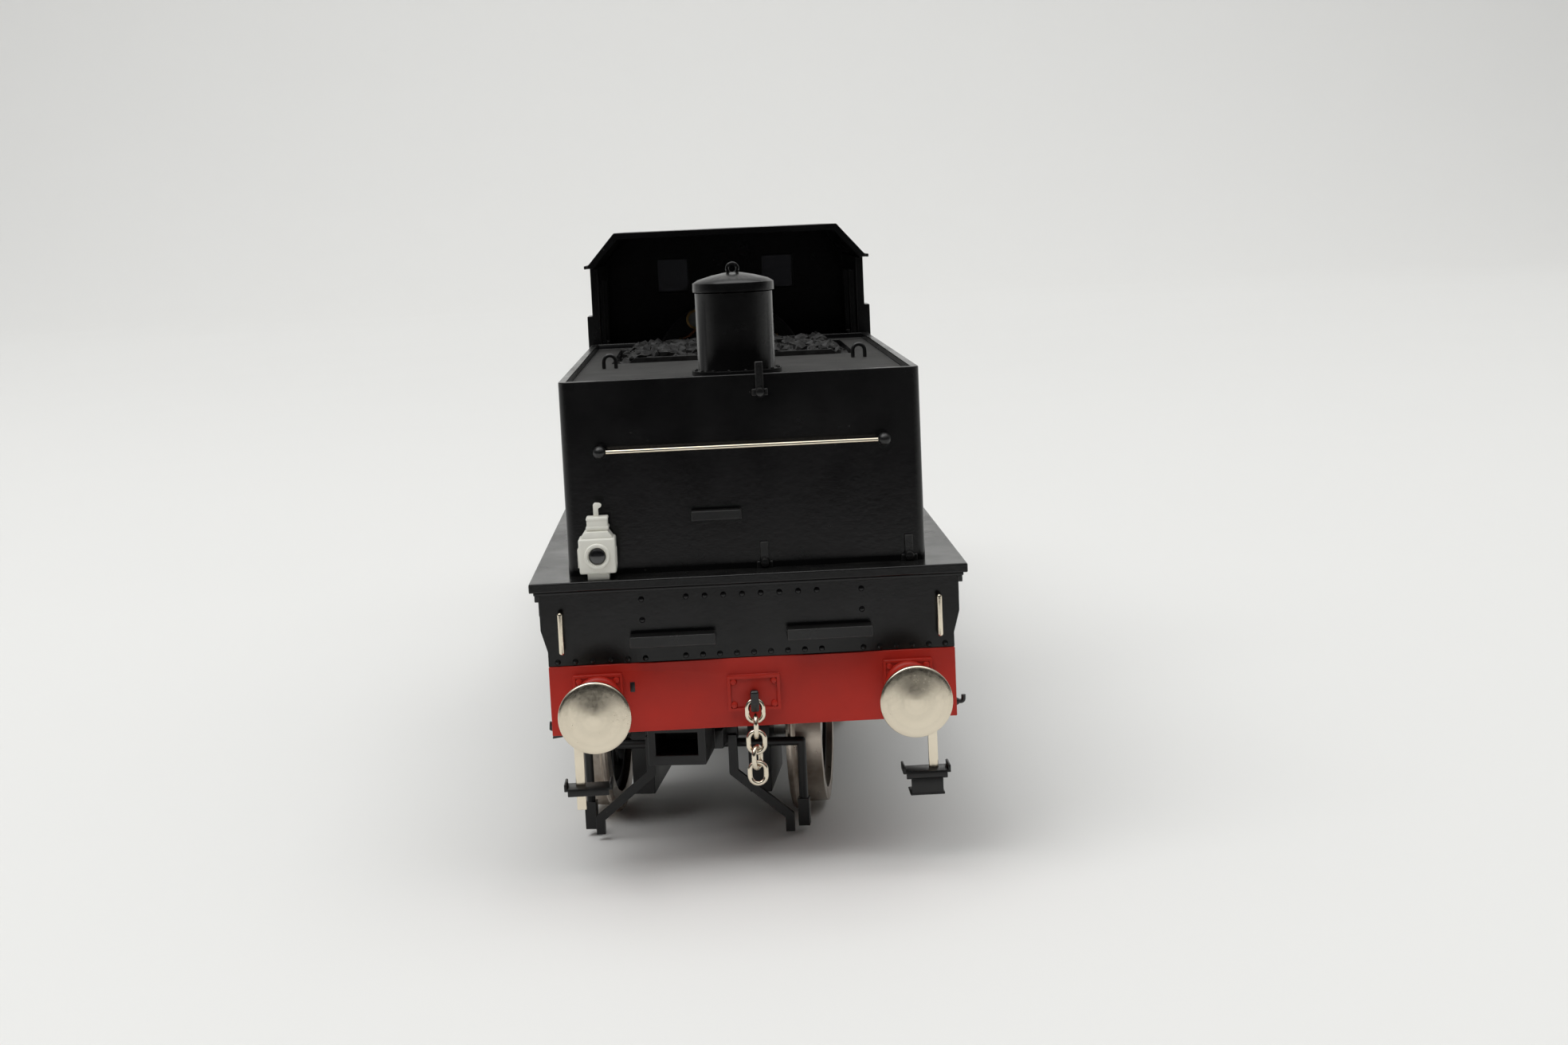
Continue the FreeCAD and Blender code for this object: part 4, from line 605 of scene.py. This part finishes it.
class LOCO_OT_stage(StepOperator, bpy.types.Operator):
    """Put up the floor, the soft lights and the camera"""
    bl_idname = "loco.stage"
    bl_label = "Studio"

    def build(self, sizes):
        scene = bpy.context.scene
        scene.view_settings.view_transform = "Standard"
        self.floor(tuple(scene.loco_colours.floor))
        self.surroundings(scene)
        self.soft_box("key_light", (-0.45, -0.35, 1.0), (0, -0.05, 0.02), (0.8, 0.8), 4.6)
        self.soft_box("top_light", (0.15, 0.0, 1.2), (0, 0.0, 0.02), (1.3, 1.1), 5.6)
        self.soft_box("backdrop_light", (0.0, 1.05, 0.95), (0, 1.55, 0.12), (1.6, 0.4), 4.0)
        self.camera(scene)

    def floor(self, colour):
        """A sheet that runs along the floor and curves up behind."""
        half_width, front, bend, radius, wall = 1.9, -0.24, 1.1, 0.5, 1.2
        bm = bmesh.new()
        edge = bm.edges.new([bm.verts.new((x, front, 0)) for x in (-half_width, half_width)])
        moved, far = sweep_straight(bm, [edge], (0, bend - front, 0))
        far = sweep_round(bm, moved + far, (0, bend, radius), X, math.pi / 2, 24)
        sweep_straight(bm, far, (0, 0, wall))
        bmesh.ops.recalc_face_normals(bm, faces=bm.faces)
        mesh = bpy.data.meshes.new("studio_floor")
        bm.to_mesh(mesh)
        bm.free()
        mesh.shade_smooth()
        sheet = bpy.data.objects.new("studio_floor", mesh)
        bpy.context.scene.collection.objects.link(sheet)
        material, tree, shader = new_finish("studio_sheet")
        grains = use_group(tree, "grain", Fine_Scale=900.0, Broad_Scale=14.0)
        base = blend(tree, grains["Broad"], shade(colour, 0.985), colour)
        feed(tree, shader, {"Base Color": base, "Roughness": 0.85, "Specular IOR Level": 0.1})
        set_bump(tree, shader, grains["Fine"], 0.01)
        mesh.materials.append(material)

    def surroundings(self, scene):
        """A room that is dark in front and bright overhead; seen directly it is as pale as the sheet."""
        world = bpy.data.worlds.new("studio_room")
        world.use_nodes = True
        scene.world = world
        tree = world.node_tree
        tree.nodes.clear()
        direction = put(tree, "ShaderNodeTexCoord").outputs["Generated"]
        parts = put(tree, "ShaderNodeSeparateXYZ", {0: direction}).outputs
        overhead = map_range(tree, parts["Z"], 0.35, 0.9, 0.0, 0.75)
        behind = map_range(tree, parts["Y"], -0.1, 0.6, 0.0, 0.45)
        light = math_node(tree, "ADD", math_node(tree, "MAXIMUM", overhead, behind), 0.03)
        seen = put(tree, "ShaderNodeLightPath").outputs["Is Camera Ray"]
        strength = put(tree, "ShaderNodeMix", {0: seen, 2: light, 3: 0.8}).outputs[0]
        back = put(tree, "ShaderNodeBackground", {"Color": (1, 1, 0.99, 1), "Strength": strength})
        put(tree, "ShaderNodeOutputWorld", {"Surface": back.outputs[0]})

    def soft_box(self, name, place, target, size, power):
        light = bpy.data.lights.new(name, "AREA")
        light.shape = "RECTANGLE"
        light.size, light.size_y = size
        light.energy = power
        holder = bpy.data.objects.new(name, light)
        aim = (Vector(target) - Vector(place)).to_track_quat("-Z", "Y")
        holder.matrix_world = Matrix.Translation(place) @ aim.to_matrix().to_4x4()
        bpy.context.scene.collection.objects.link(holder)

    def camera(self, scene):
        lens = bpy.data.cameras.new("studio_camera")
        lens.lens = 50.42
        lens.sensor_width = 36.0
        lens.clip_start = 0.005
        lens.clip_end = 20
        holder = bpy.data.objects.new("studio_camera", lens)
        heading, dip, roll = -1.749, 7.827, -2.568
        matrix = Matrix.Translation(mm(-2.09, -233.6, 48.4))
        for angle, axis in ((heading, "Z"), (90 - dip, "X"), (roll, "Z")):
            matrix = matrix @ Matrix.Rotation(math.radians(angle), 4, axis)
        holder.matrix_world = matrix
        scene.collection.objects.link(holder)
        scene.camera = holder


class LOCO_OT_tank(StepOperator, bpy.types.Operator):
    """Finish the rear tank and its small fittings"""
    bl_idname = "loco.tank"
    bl_label = "Rear tank"

    def build(self, sizes):
        tank = refine("rear_tank", sizes.edge_softness / MM)
        tank.data.materials.append(finish("deck_black"))
        deck_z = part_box("tank_filler")[0].z
        for face in tank.data.polygons:
            if face.normal.z > 0.9 and abs(face.center.z - deck_z) < 0.1 * MM:
                face.material_index = 1
        # these fittings take black_metal for its lighter edges, a painted highlight for their glint
        for node in ("lifting_eyes", "lamp_irons", "foot_ledges"):
            refine(node, 0.06, "black_metal", 60)
        refine("handrails", smooth=60)
        refine("handrail_knobs", look="black_metal", smooth=60)
        bm = bmesh.new()
        for x, z in ((1.5, 35.95), (1.3, 23.25), (12.1, 23.25)):
            stud(bm, mm(x, LAMP_IRON_FACE, z), -Y, 0.4, 0.4, 12)
        piece("lamp_iron_bolts", bm, "black_metal")


class LOCO_OT_filler(StepOperator, bpy.types.Operator):
    """Build the tank filler with its bolted foot, and its hinged lid"""
    bl_idname = "loco.filler"
    bl_label = "Tank filler"

    def build(self, sizes):
        refine("tank_filler", 0.04)
        refine("filler_lid", 0.05)
        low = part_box("tank_filler")[0]
        centre = Vector((0, low.y + 3.5 * MM, low.z + 0.35 * MM))
        bm = bmesh.new()
        for number in range(16):
            angle = math.tau * (number + 0.5) / 16
            spot = centre + mm(math.cos(angle), math.sin(angle), 0) * 3.26
            stud(bm, spot, Z, 0.15, 0.14, 6)
        piece("filler_bolts", bm, "satin_black")


class LOCO_OT_lamp(StepOperator, bpy.types.Operator):
    """Build the white tail lamp and its lens"""
    bl_idname = "loco.lamp"
    bl_label = "Tail lamp"

    def build(self, sizes):
        low, high = box_mm("lamp_body")
        x = (low.x + high.x) / 2
        y = (low.y + high.y) / 2
        lens = middle("lamp_lens")
        floor = low.z + 0.5
        shoulder = floor + 2.6
        top = floor + 3.1
        bm = bmesh.new()
        block(bm, (low.x, low.y, floor), (high.x, high.y, shoulder), 0.16, 3)
        cap = [(low.x + 0.06, shoulder - 0.15), (high.x - 0.06, shoulder - 0.15), (high.x - 0.5, top),
               (low.x + 0.5, top)]
        prism(bm, [(x, low.y + 0.14, z) for x, z in cap], (0, high.y - low.y - 0.28, 0), 0.08)
        block(bm, (x - 0.68, y - 0.68, top - 0.2), (x + 0.86, y + 0.68, top + 0.98), 0.12, 3)
        block(bm, (x - 0.75, y - 0.75, top + 0.1), (x + 0.93, y + 0.75, top + 0.36), 0.08)
        block(bm, (x - 0.72, y - 0.72, top + 0.76), (x + 0.9, y + 0.72, top + 1.02), 0.1)
        strip = [(-0.17, 0.95), (0.2, 0.95), (0.2, 1.6), (0.42, 1.72), (0.46, 1.9), (0.3, 2.02),
                 (-0.05, 2.04), (-0.17, 1.9)]
        prism(bm, [(x + across, y - 0.11, top + up) for across, up in strip], (0, 0.22, 0), 0.05)
        turn(bm, [(0.7, 0.05), (0.95, 0.05), (0.95, -0.12), (0.88, -0.2), (0.74, -0.2), (0.7, -0.12)],
             (lens.x, low.y * MM, lens.z), Y, 40, closed=True)
        for way in WAYS:
            edge = x + way * 1.35
            block(bm, (edge - 0.12, y - 0.55, floor + 0.4), (edge + 0.05, y + 0.55, floor + 1.8), 0.04)
        block(bm, (x - 0.8, low.y + 0.3, low.z), (x + 0.8, high.y - 0.3, floor + 0.1), 0.05)
        piece("tail_lamp", bm, "lamp_white", replaces=("lamp_body",))
        bm = bmesh.new()
        front = low.y * MM - 0.15 * MM
        turn(bm, [(0, 0), (0.26, 0.012), (0.48, 0.055), (0.62, 0.13), (0.66, 0.2), (0.66, 0.45),
                  (0, 0.45)], (lens.x, front, lens.z), Y, 40)
        piece("tail_lamp_lens", bm, "lens_black", replaces=("lamp_lens",))


class LOCO_OT_footplate(StepOperator, bpy.types.Operator):
    """Finish the footplate and the drop plates, and rivet the plates"""
    bl_idname = "loco.footplate"
    bl_label = "Footplate"

    def build(self, sizes):
        refine("footplate", 0.12)
        refine("drop_plates", 0.05)
        refine("footstep_hangers", 0.05)
        self.steps()
        self.edging()
        spots = [(x, 21.2) for x in self.spread(-4.7, 5.0, 8)]
        spots += [(-8.0, 21.15), (8.3, 21.15), (-8.0, 19.6), (8.3, 19.6)]
        spots += [(x, 16.72) for x in self.spread(-14.4, -7.9, 6)]
        spots += [(x, 16.78) for x in self.spread(-4.9, 5.2, 9)]
        spots += [(x, 16.72) for x in self.spread(8.3, 14.4, 6)]
        for end, way in ENDS:
            bm = bmesh.new()
            for x, z in spots:
                stud(bm, mm(x, way * PLATE_FACE, z), Y * way, sizes.rivet_radius / MM,
                     sizes.rivet_height / MM)
            piece(end + "_plate_rivets", bm, "satin_black")

    def steps(self):
        """Folded sheet steps: a tread with turned-up ends, and on the right a second tread below."""
        low, high = box_mm("footstep_boards")
        hem = low.y + 0.2
        bm = bmesh.new()
        for inner, outer in ((-14.5, -10.9), (10.9, 14.5)):
            block(bm, (inner, low.y, 6.85), (outer, high.y, 7.05), 0.06)
            block(bm, (inner, low.y, 6.9), (inner + 0.2, high.y, 7.42), 0.06)
            block(bm, (outer - 0.2, low.y, 6.9), (outer, high.y, 7.42), 0.06)
            block(bm, (inner + 0.25, low.y, 6.45), (outer - 0.25, hem, 7.02), 0.06)
        block(bm, (11.5, low.y, 5.35), (13.9, hem, 6.6), 0.06)
        block(bm, (11.4, low.y, 5.2), (14.0, high.y, 5.4), 0.06)
        piece("folded_steps", bm, SLOT_OF["footstep_boards"], "moulded_black", ("footstep_boards",))

    def edging(self):
        """The angle under the footplate's ends and sides, which doubles its edge."""
        bm = bmesh.new()
        for way in WAYS:
            block(bm, (-15.85, way * 73.35, 21.92), (15.85, way * 74.25, 22.2), 0.05)
        for way in WAYS:
            block(bm, (way * 15.45, -73.4, 21.3), (way * 15.85, 73.4, 22.2), 0.05)
        piece("footplate_angles", bm, "satin_black")

    def spread(self, first, last, count):
        return [first + (last - first) * number / (count - 1) for number in range(count)]


class LOCO_OT_beams(StepOperator, bpy.types.Operator):
    """Finish the red buffer beams, with their drawbar rivets and end fittings"""
    bl_idname = "loco.beams"
    bl_label = "Buffer beams"

    def build(self, sizes):
        refine("buffer_beams", 0.06)
        for end, way in ENDS:
            bm = bmesh.new()
            for x in (-1.5, 1.5):
                for z in (12.92, 14.68):
                    stud(bm, mm(x, way * DRAWBAR_FACE, z), Y * way, 0.27, 0.22, 12)
            border(bm, way * (DRAWBAR_FACE - ROOT), (-1.95, 1.95), (12.48, 15.12), 0.22, way * 0.17)
            piece(end + "_drawbar_rivets", bm, "signal_red")
        bm = bmesh.new()
        block(bm, (-9.15, -73.56, 14.25), (-8.8, -73.4, 15.0), 0.05)
        outline = [(-15.35, 12.05), (-14.85, 12.15), (-14.8, 11.85), (-14.45, 11.85), (-14.4, 12.15),
                   (-14.0, 12.1), (-14.0, 11.25), (-14.4, 10.85), (-15.2, 10.75), (-15.1, 11.3),
                   (-15.4, 11.45)]
        prism(bm, [(x, -72.45, z) for x, z in outline], (0, 0.5, 0), 0.05)
        bent_wire(bm, [(14.6, -72.2, 12.0), (15.75, -72.2, 12.0), (15.75, -72.2, 12.5)], 0.17, 0.2)
        stud(bm, mm(15.15, -72.2, 12.0), X, 0.3, 0.3, 12)
        piece("rear_beam_fittings", bm, "black_metal")


class LOCO_OT_buffers(StepOperator, bpy.types.Operator):
    """Build the turned buffer heads and their riveted housings"""
    bl_idname = "loco.buffers"
    bl_label = "Buffers"

    def build(self, sizes):
        housings = bmesh.new()
        for end, way in ENDS:
            for side, _ in SIDES:
                node = end + "_" + side + "_buffer"
                spot = middle(node)
                face = Vector((spot.x, way * BUFFER_FACE * MM, spot.z))
                bm = bmesh.new()
                turn(bm, [(0, 0), (0.35, 0.014), (0.9, 0.062), (1.5, 0.12), (2.0, 0.168), (2.4, 0.208),
                          (2.54, 0.24), (2.6, 0.29), (2.62, 0.36), (2.62, 0.5), (2.59, 0.57),
                          (2.5, 0.61), (1.9, 0.8), (1.35, 0.99), (1.06, 1.18), (0.95, 1.45),
                          (0.95, 4.98), (0, 4.98)], face, Y * -way, 96)
                piece(node + "_turned", bm, "bright_nickel", "turned_nickel", (node,), 50, body=node)
                self.housing(housings, spot, way)
        piece("buffer_housings_finished", housings, "signal_red",
              replaces=("buffer_housings",))

    def housing(self, bm, spot, way):
        """A square base with a raised border and corner rivets, and a stepped barrel."""
        x = spot.x / MM
        z = spot.z / MM
        base = BEAM_FACE + 0.36
        block(bm, (x - 1.85, way * (BEAM_FACE - 0.1), z - 1.85), (x + 1.85, way * base, z + 1.85), 0.14, 3)
        border(bm, way * (base - ROOT), (x - 1.8, x + 1.8), (z - 1.8, z + 1.8), 0.16, way * 0.1)
        for across in (-1.38, 1.38):
            for up in (-1.38, 1.38):
                stud(bm, mm(x + across, way * base, z + up), Y * way, 0.26, 0.2, 12)
        turn(bm, [(1.0, 0.3), (1.75, 0.3), (1.75, 0.75), (1.7, 0.86), (1.56, 0.95), (1.5, 1.2),
                  (1.46, 3.2), (1.5, 3.26), (1.56, 3.32), (1.56, 3.8), (1.5, 3.88), (1.4, 3.9),
                  (1.0, 3.9)], mm(x, way * BEAM_FACE, z), Y * way, 48, closed=True)


class LOCO_OT_coupling(StepOperator, bpy.types.Operator):
    """Build the drawhooks and the chain's links"""
    bl_idname = "loco.coupling"
    bl_label = "Coupling"

    def build(self, sizes):
        refine("drawhooks", 0.13)
        turns = (0, 90, 0, 65, 0)
        for number, turned_by in enumerate(turns, 1):
            node = "chain_link_%d" % number
            bm = bmesh.new()
            oval_link(bm, middle(node), 1.55, 1.95, 0.18, math.radians(turned_by))
            piece(node + "_bent", bm, "bright_nickel", replaces=(node,), smooth=60, body=node)


class LOCO_OT_truck(StepOperator, bpy.types.Operator):
    """Finish the pony truck"""
    bl_idname = "loco.truck"
    bl_label = "Pony truck"

    def build(self, sizes):
        refine("pony_frame", 0.08, look="moulded_black")
        refine("guard_irons", 0.06, look="moulded_black", smooth=45)
        refine("pony_axle", 0.03)
        refine("pony_wheel_centres", 0.05)
        refine("pony_tyres", 0.04, look="tyre_pony_tyres")
        refine("pivot_screw", 0.04)


class LOCO_OT_wheels(StepOperator, bpy.types.Operator):
    """Finish the driving wheels, axles, rods, gear, motor and chassis"""
    bl_idname = "loco.wheels"
    bl_label = "Wheels and drive"

    def build(self, sizes):
        for place in ("rear", "middle", "front"):
            refine(place + "_axle", 0.03)
            refine(place + "_wheel_centres", 0.06)
            refine(place + "_tyres", 0.04, look="tyre_%s_tyres" % place)
        for side, across in SIDES:
            refine(side + "_coupling_rod", 0.06, look="rod_nickel")
            self.flutes(side, across)
        for node in ("axle_gear", "motor_case", "motor_shaft", "keeper_plate", "chassis_block"):
            refine(node, 0.05)

    def flutes(self, side, across):
        """Raised edges along a rod's outer face, so that it looks fluted, and its oil cups."""
        rod = side + "_coupling_rod"
        low, high = box_mm(rod)
        z = (low.z + high.z) / 2
        pins = [low.y + 1.75, (low.y + high.y) / 2, high.y - 1.75]
        bm = bmesh.new()
        for first, last in zip(pins, pins[1:]):
            for up in (-0.78, 0.5):
                block(bm, (across * 11.1, first + 1.9, z + up),
                      (across * 11.22, last - 1.9, z + up + 0.28), 0.03)
        for y in pins:
            block(bm, (across * 10.55, y - 0.3, z + 1.6), (across * 11.05, y + 0.3, z + 2.05), 0.06)
        piece(side + "_rod_flutes", bm, SLOT_OF[rod], "rod_nickel", body=rod)


class LOCO_OT_cab(StepOperator, bpy.types.Operator):
    """Finish the cab with its window frames, gutters, handrails and backhead fittings"""
    bl_idname = "loco.cab"
    bl_label = "Cab"

    def build(self, sizes):
        refine("cab_shell", sizes.edge_softness / MM)
        refine("cab_roof", sizes.edge_softness / MM)
        refine("cab_glazing")
        refine("backhead", 0.25)
        self.frames()
        self.rails()
        self.gutters()
        self.fittings()

    def frames(self):
        """Beading round the doorways and windows."""
        bm = bmesh.new()
        for way in WAYS:
            face = way * (CAB_SIDE - ROOT)
            for y, z in (((-7.35, 0.35), (36.25, 43.35)), ((-16.85, -8.65), (23.6, 43.5))):
                window_frame(bm, [(face, y[0], z[0]), (face, y[1], z[0]), (face, y[1], z[1]),
                                  (face, y[0], z[1])], 0.35, (way * 0.14, 0, 0))
            border(bm, CAB_FRONT - ROOT, sorted((way * 3.6, way * 7.5)), (41.1, 45.15), 0.38, 0.14)
        piece("window_frames", bm, "satin_black")

    def rails(self):
        """Upright handrails on short stems beside the doorways."""
        bm = bmesh.new()
        for inner, outer in ((-13.15, -13.75), (13.15, 13.75)):
            for y in (-17.75, -7.9):
                bent_wire(bm, [(inner, y, 24.9), (outer, y, 24.9), (outer, y, 35.6), (inner, y, 35.6)],
                          0.2, 0.35)
        piece("cab_handrails", bm, "bright_nickel")

    def gutters(self):
        """A rain strip along each side of the roof, above the doorway and window."""
        low, high = box_mm("cab_roof")
        bm = bmesh.new()
        for way in WAYS:
            block(bm, (way * (high.x - 0.12), low.y + 0.2, low.z - 0.02),
                  (way * (high.x + 0.12), high.y - 0.2, low.z + 0.28), 0.05)
        piece("roof_gutters", bm, "satin_black")

    def fittings(self):
        """Firehole door, regulator, gauges, wheels and pipes on the backhead."""
        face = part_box("backhead")[0].y / MM
        door = mm(0, face, 30.0)
        black = bmesh.new()
        turn(black, [(0, -0.7), (2.3, -0.7), (2.4, -0.55), (2.4, 0.3), (0, 0.3)], door, Y, 40)
        turn(black, [(2.5, -0.35), (2.95, -0.35), (2.95, 0.2), (2.5, 0.2)], door, Y, 40, closed=True)
        block(black, (-3.4, face - 0.9, 29.6), (3.4, face - 0.6, 30.4), 0.08)
        turn(black, [(0, -1.1), (0.8, -1.0), (0.95, 0.2), (0, 0.2)], mm(0, face, 37.2), Y, 24)
        block(black, (-0.22, face - 1.35, 34.6), (0.22, face - 1.1, 38.6), 0.08)
        brass = bmesh.new()
        dials = bmesh.new()
        pipes = bmesh.new()
        for way in WAYS:
            x = way * 5.6
            block(black, (x - 0.9, face - 0.8, 24.0), (x + 0.9, face + 0.2, 25.2), 0.1)
            gauge = mm(way * 3.3, face, 38.6)
            turn(dials, [(0, -0.4), (0.8, -0.4), (0.8, 0.1), (0, 0.1)], gauge, Y, 32)
            turn(brass, [(0.78, -0.55), (1.02, -0.5), (1.02, 0.2), (0.78, 0.2)], gauge, Y, 32, closed=True)
            x = way * 3.3 * 1.5
            bent_wire(brass, [(x, face + 0.2, 36.6), (x, face - 0.6, 36.6), (x, face - 0.6, 33.0),
                              (x, face + 0.2, 33.0)], 0.24, 0.3)
            stud(brass, mm(x, face - 0.6, 34.8), -Y, 0.4, 0.3, 12)
            turn(brass, [(0, -0.9), (0.35, -0.85), (0.35, 0.2), (0, 0.2)], mm(way * 1.8, face, 33.9), Y, 16)
            x = way * 6.6
            bent_wire(pipes, [(x, face - 0.4, 22.9), (x, face - 0.4, 31.5), (x * 0.74, face - 0.4, 33.0)],
                      0.26, 0.8)
            bent_wire(pipes, [(x * 0.5, face - 0.3, 37.6), (x * 0.62, face - 0.3, 36.9),
                              (x * 0.75, face - 0.3, 36.6)], 0.15, 0.2)
        piece("backhead_ironwork", black, "matt_black")
        piece("backhead_brasswork", brass, "brass")
        piece("gauge_dials", dials, "lamp_white", "dial_white")
        piece("backhead_pipes", pipes, "brass", "copper")


class LOCO_OT_coal(StepOperator, bpy.types.Operator):
    """Heap the coal space with broken lumps"""
    bl_idname = "loco.coal"
    bl_label = "Coal"

    def build(self, sizes):
        draw = random.Random(7)
        low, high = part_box("coal_load")
        bed = frame["nodes"]["coal_load"]
        bm = bmesh.new()
        for _ in range(sizes.coal_lumps):
            size = sizes.coal_lump * draw.uniform(0.55, 1.45)
            x = draw.uniform(low.x + size, high.x - size)
            y = draw.uniform(low.y + size, high.y - size)
            hit, spot = bed.ray_cast(Vector((x, y, high.z + 1)), -Z)[:2]
            top = spot.z if hit else high.z
            matrix = (Matrix.Translation((x, y, top + size * draw.uniform(-0.55, 0.05)))
                      @ Matrix.Rotation(draw.uniform(0, math.tau), 4, draw.choice("XYZ"))
                      @ Matrix.Diagonal((1, draw.uniform(0.6, 1), draw.uniform(0.55, 0.9), 1)))
            lump = bmesh.ops.create_icosphere(bm, subdivisions=1, radius=size, matrix=matrix)
            for vert in lump["verts"]:
                vert.co += Vector([draw.uniform(-0.25, 0.25) * size for _ in range(3)])
        piece("coal_lumps", bm, "coal", smooth=20)
        refine("coal_load", look="coal", smooth=20)


class LOCO_OT_boiler(StepOperator, bpy.types.Operator):
    """Finish the boiler, smokebox and mountings, with bands and rivets"""
    bl_idname = "loco.boiler"
    bl_label = "Boiler"

    def build(self, sizes):
        for node in ("firebox", "boiler", "smokebox", "chimney", "dome", "safety_valves",
                     "smokebox_door"):
            refine(node, 0.06)
        self.bands(sizes.band_height / MM)
        self.rivets()
        self.door()
        self.pipes()

    def bands(self, height):
        """Cladding bands round the boiler and over the firebox."""
        bm = bmesh.new()
        for y in (18.8, 28.9, 39.3, 49.7):
            inner, outer = BOILER_RADIUS - 0.05, BOILER_RADIUS + height
            turn(bm, [(inner, -0.45), (outer, -0.45), (outer, 0.45), (inner, 0.45)],
                 mm(0, y, BOILER_AXIS), Y, 96, closed=True)
        for y in (2.8, 17.6):
            inner = self.arch(FIREBOX_HALF_WIDTH - 0.05)
            outer = self.arch(FIREBOX_HALF_WIDTH + height)
            prism(bm, [(x, y - 0.4, z) for x, z in outer + inner[::-1]], (0, 0.8, 0))
        piece("cladding_bands", bm, "satin_black", smooth=30)

    def arch(self, radius):
        """Points up one side of the firebox, over its round crown and down the other."""
        points = [(radius, 23.0)]
        for number in range(33):
            angle = math.pi * number / 32
            points.append((radius * math.cos(angle), BOILER_AXIS + radius * math.sin(angle)))
        return points + [(-radius, 23.0)]

    def rivets(self):
        """Rings of rivets on the smokebox's wrapper and front, and plugs on the firebox."""
        bm = bmesh.new()
        for number in range(41):
            outward = self.outward(math.radians(-30 + 240 * number / 40))
            for y in (50.95, 63.65):
                stud(bm, mm(0, y, BOILER_AXIS) + outward * SMOKEBOX_RADIUS * MM, outward, 0.16, 0.11, 8)
        for number in range(36):
            outward = self.outward(math.tau * (number + 0.5) / 36)
            spot = mm(0, 64.3, BOILER_AXIS) + outward * 8.75 * MM
            if abs(spot.x + 8.2 * MM) > 1.1 * MM:
                stud(bm, spot, Y, 0.15, 0.1, 8)
        for way in WAYS:
            for y in (6.0, 10.3, 14.6):
                stud(bm, mm(way * FIREBOX_HALF_WIDTH, y, 30.6), X * way, 0.5, 0.35, 12)
        piece("smokebox_rivets", bm, "satin_black")

    def outward(self, angle):
        """The direction away from the boiler's axis at an angle from +X."""
        return Vector((math.cos(angle), 0, math.sin(angle)))

    def door(self):
        """Two handles on the middle of the smokebox door, with a boss behind them."""
        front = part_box("smokebox_door")[1].y / MM
        bm = bmesh.new()
        turn(bm, [(0, 1.15), (0.3, 1.1), (0.4, 0.9), (0.4, 0.55), (0.75, 0.5), (0.9, 0.3), (0.9, -0.9),
                  (0, -0.9)], mm(0, front, BOILER_AXIS), Y, 24)
        bent_wire(bm, [(0, front + 0.7, BOILER_AXIS), (0, front + 0.7, 29.4)], 0.18)
        bent_wire(bm, [(0, front + 1.0, BOILER_AXIS), (1.9, front + 1.0, 30.3)], 0.18)
        piece("door_handles", bm, "bright_nickel", body="smokebox_door")

    def pipes(self):
        """Feed pipes to a check valve on each side of the boiler, and the whistle."""
        bm = bmesh.new()
        for way in WAYS:
            x = way * 10.1
            bent_wire(bm, [(x, 2.0, 28.4), (x, 30.5, 28.4), (x, 33.0, 30.6), (way * 8.4, 33.0, 31.6)],
                      0.28, 1.2)
            turn(bm, [(0, 1.6), (0.55, 1.5), (0.62, 1.2), (0.62, 0.7), (0.85, 0.6), (0.85, -0.4),
                      (0, -0.4)], mm(way * 8.5, 33.0, 31.6), X * way, 20)
        turn(bm, [(0, 3.0), (0.3, 2.95), (0.42, 2.7), (0.42, 1.4), (0.2, 1.3), (0.2, 0.5), (0.5, 0.3),
                  (0.5, -0.8), (0, -0.8)], mm(3.4, 4.4, 40.6), Z, 20)
        piece("boiler_pipes", bm, "satin_black")


STEPS = (LOCO_OT_stage, LOCO_OT_tank, LOCO_OT_filler, LOCO_OT_lamp, LOCO_OT_footplate, LOCO_OT_beams,
         LOCO_OT_buffers, LOCO_OT_coupling, LOCO_OT_truck, LOCO_OT_wheels, LOCO_OT_cab, LOCO_OT_coal,
         LOCO_OT_boiler)


class LOCO_PT_panel(bpy.types.Panel):
    """Lists the building steps, the sizes and the colours"""
    bl_idname = "LOCO_PT_panel"
    bl_label = "Locomotive"
    bl_space_type = "VIEW_3D"
    bl_region_type = "UI"
    bl_category = "Locomotive"

    def draw(self, context):
        for step in STEPS:
            self.layout.operator(step.bl_idname)
        for settings in (context.scene.loco_sizes, context.scene.loco_colours):
            for name in settings.bl_rna.properties.keys():
                if name not in ("rna_type", "name"):
                    self.layout.prop(settings, name)


CLASSES = (LocoSizes, LocoColours) + STEPS + (LOCO_PT_panel,)


def register():
    for item in CLASSES:
        bpy.utils.register_class(item)
    bpy.types.Scene.loco_sizes = bpy.props.PointerProperty(type=LocoSizes)
    bpy.types.Scene.loco_colours = bpy.props.PointerProperty(type=LocoColours)


def unregister():
    del bpy.types.Scene.loco_sizes
    del bpy.types.Scene.loco_colours
    for item in reversed(CLASSES):
        bpy.utils.unregister_class(item)


def main():
    register()
    for step in STEPS:
        space, name = step.bl_idname.split(".")
        getattr(getattr(bpy.ops, space), name)()


if __name__ == "__main__":
    main()
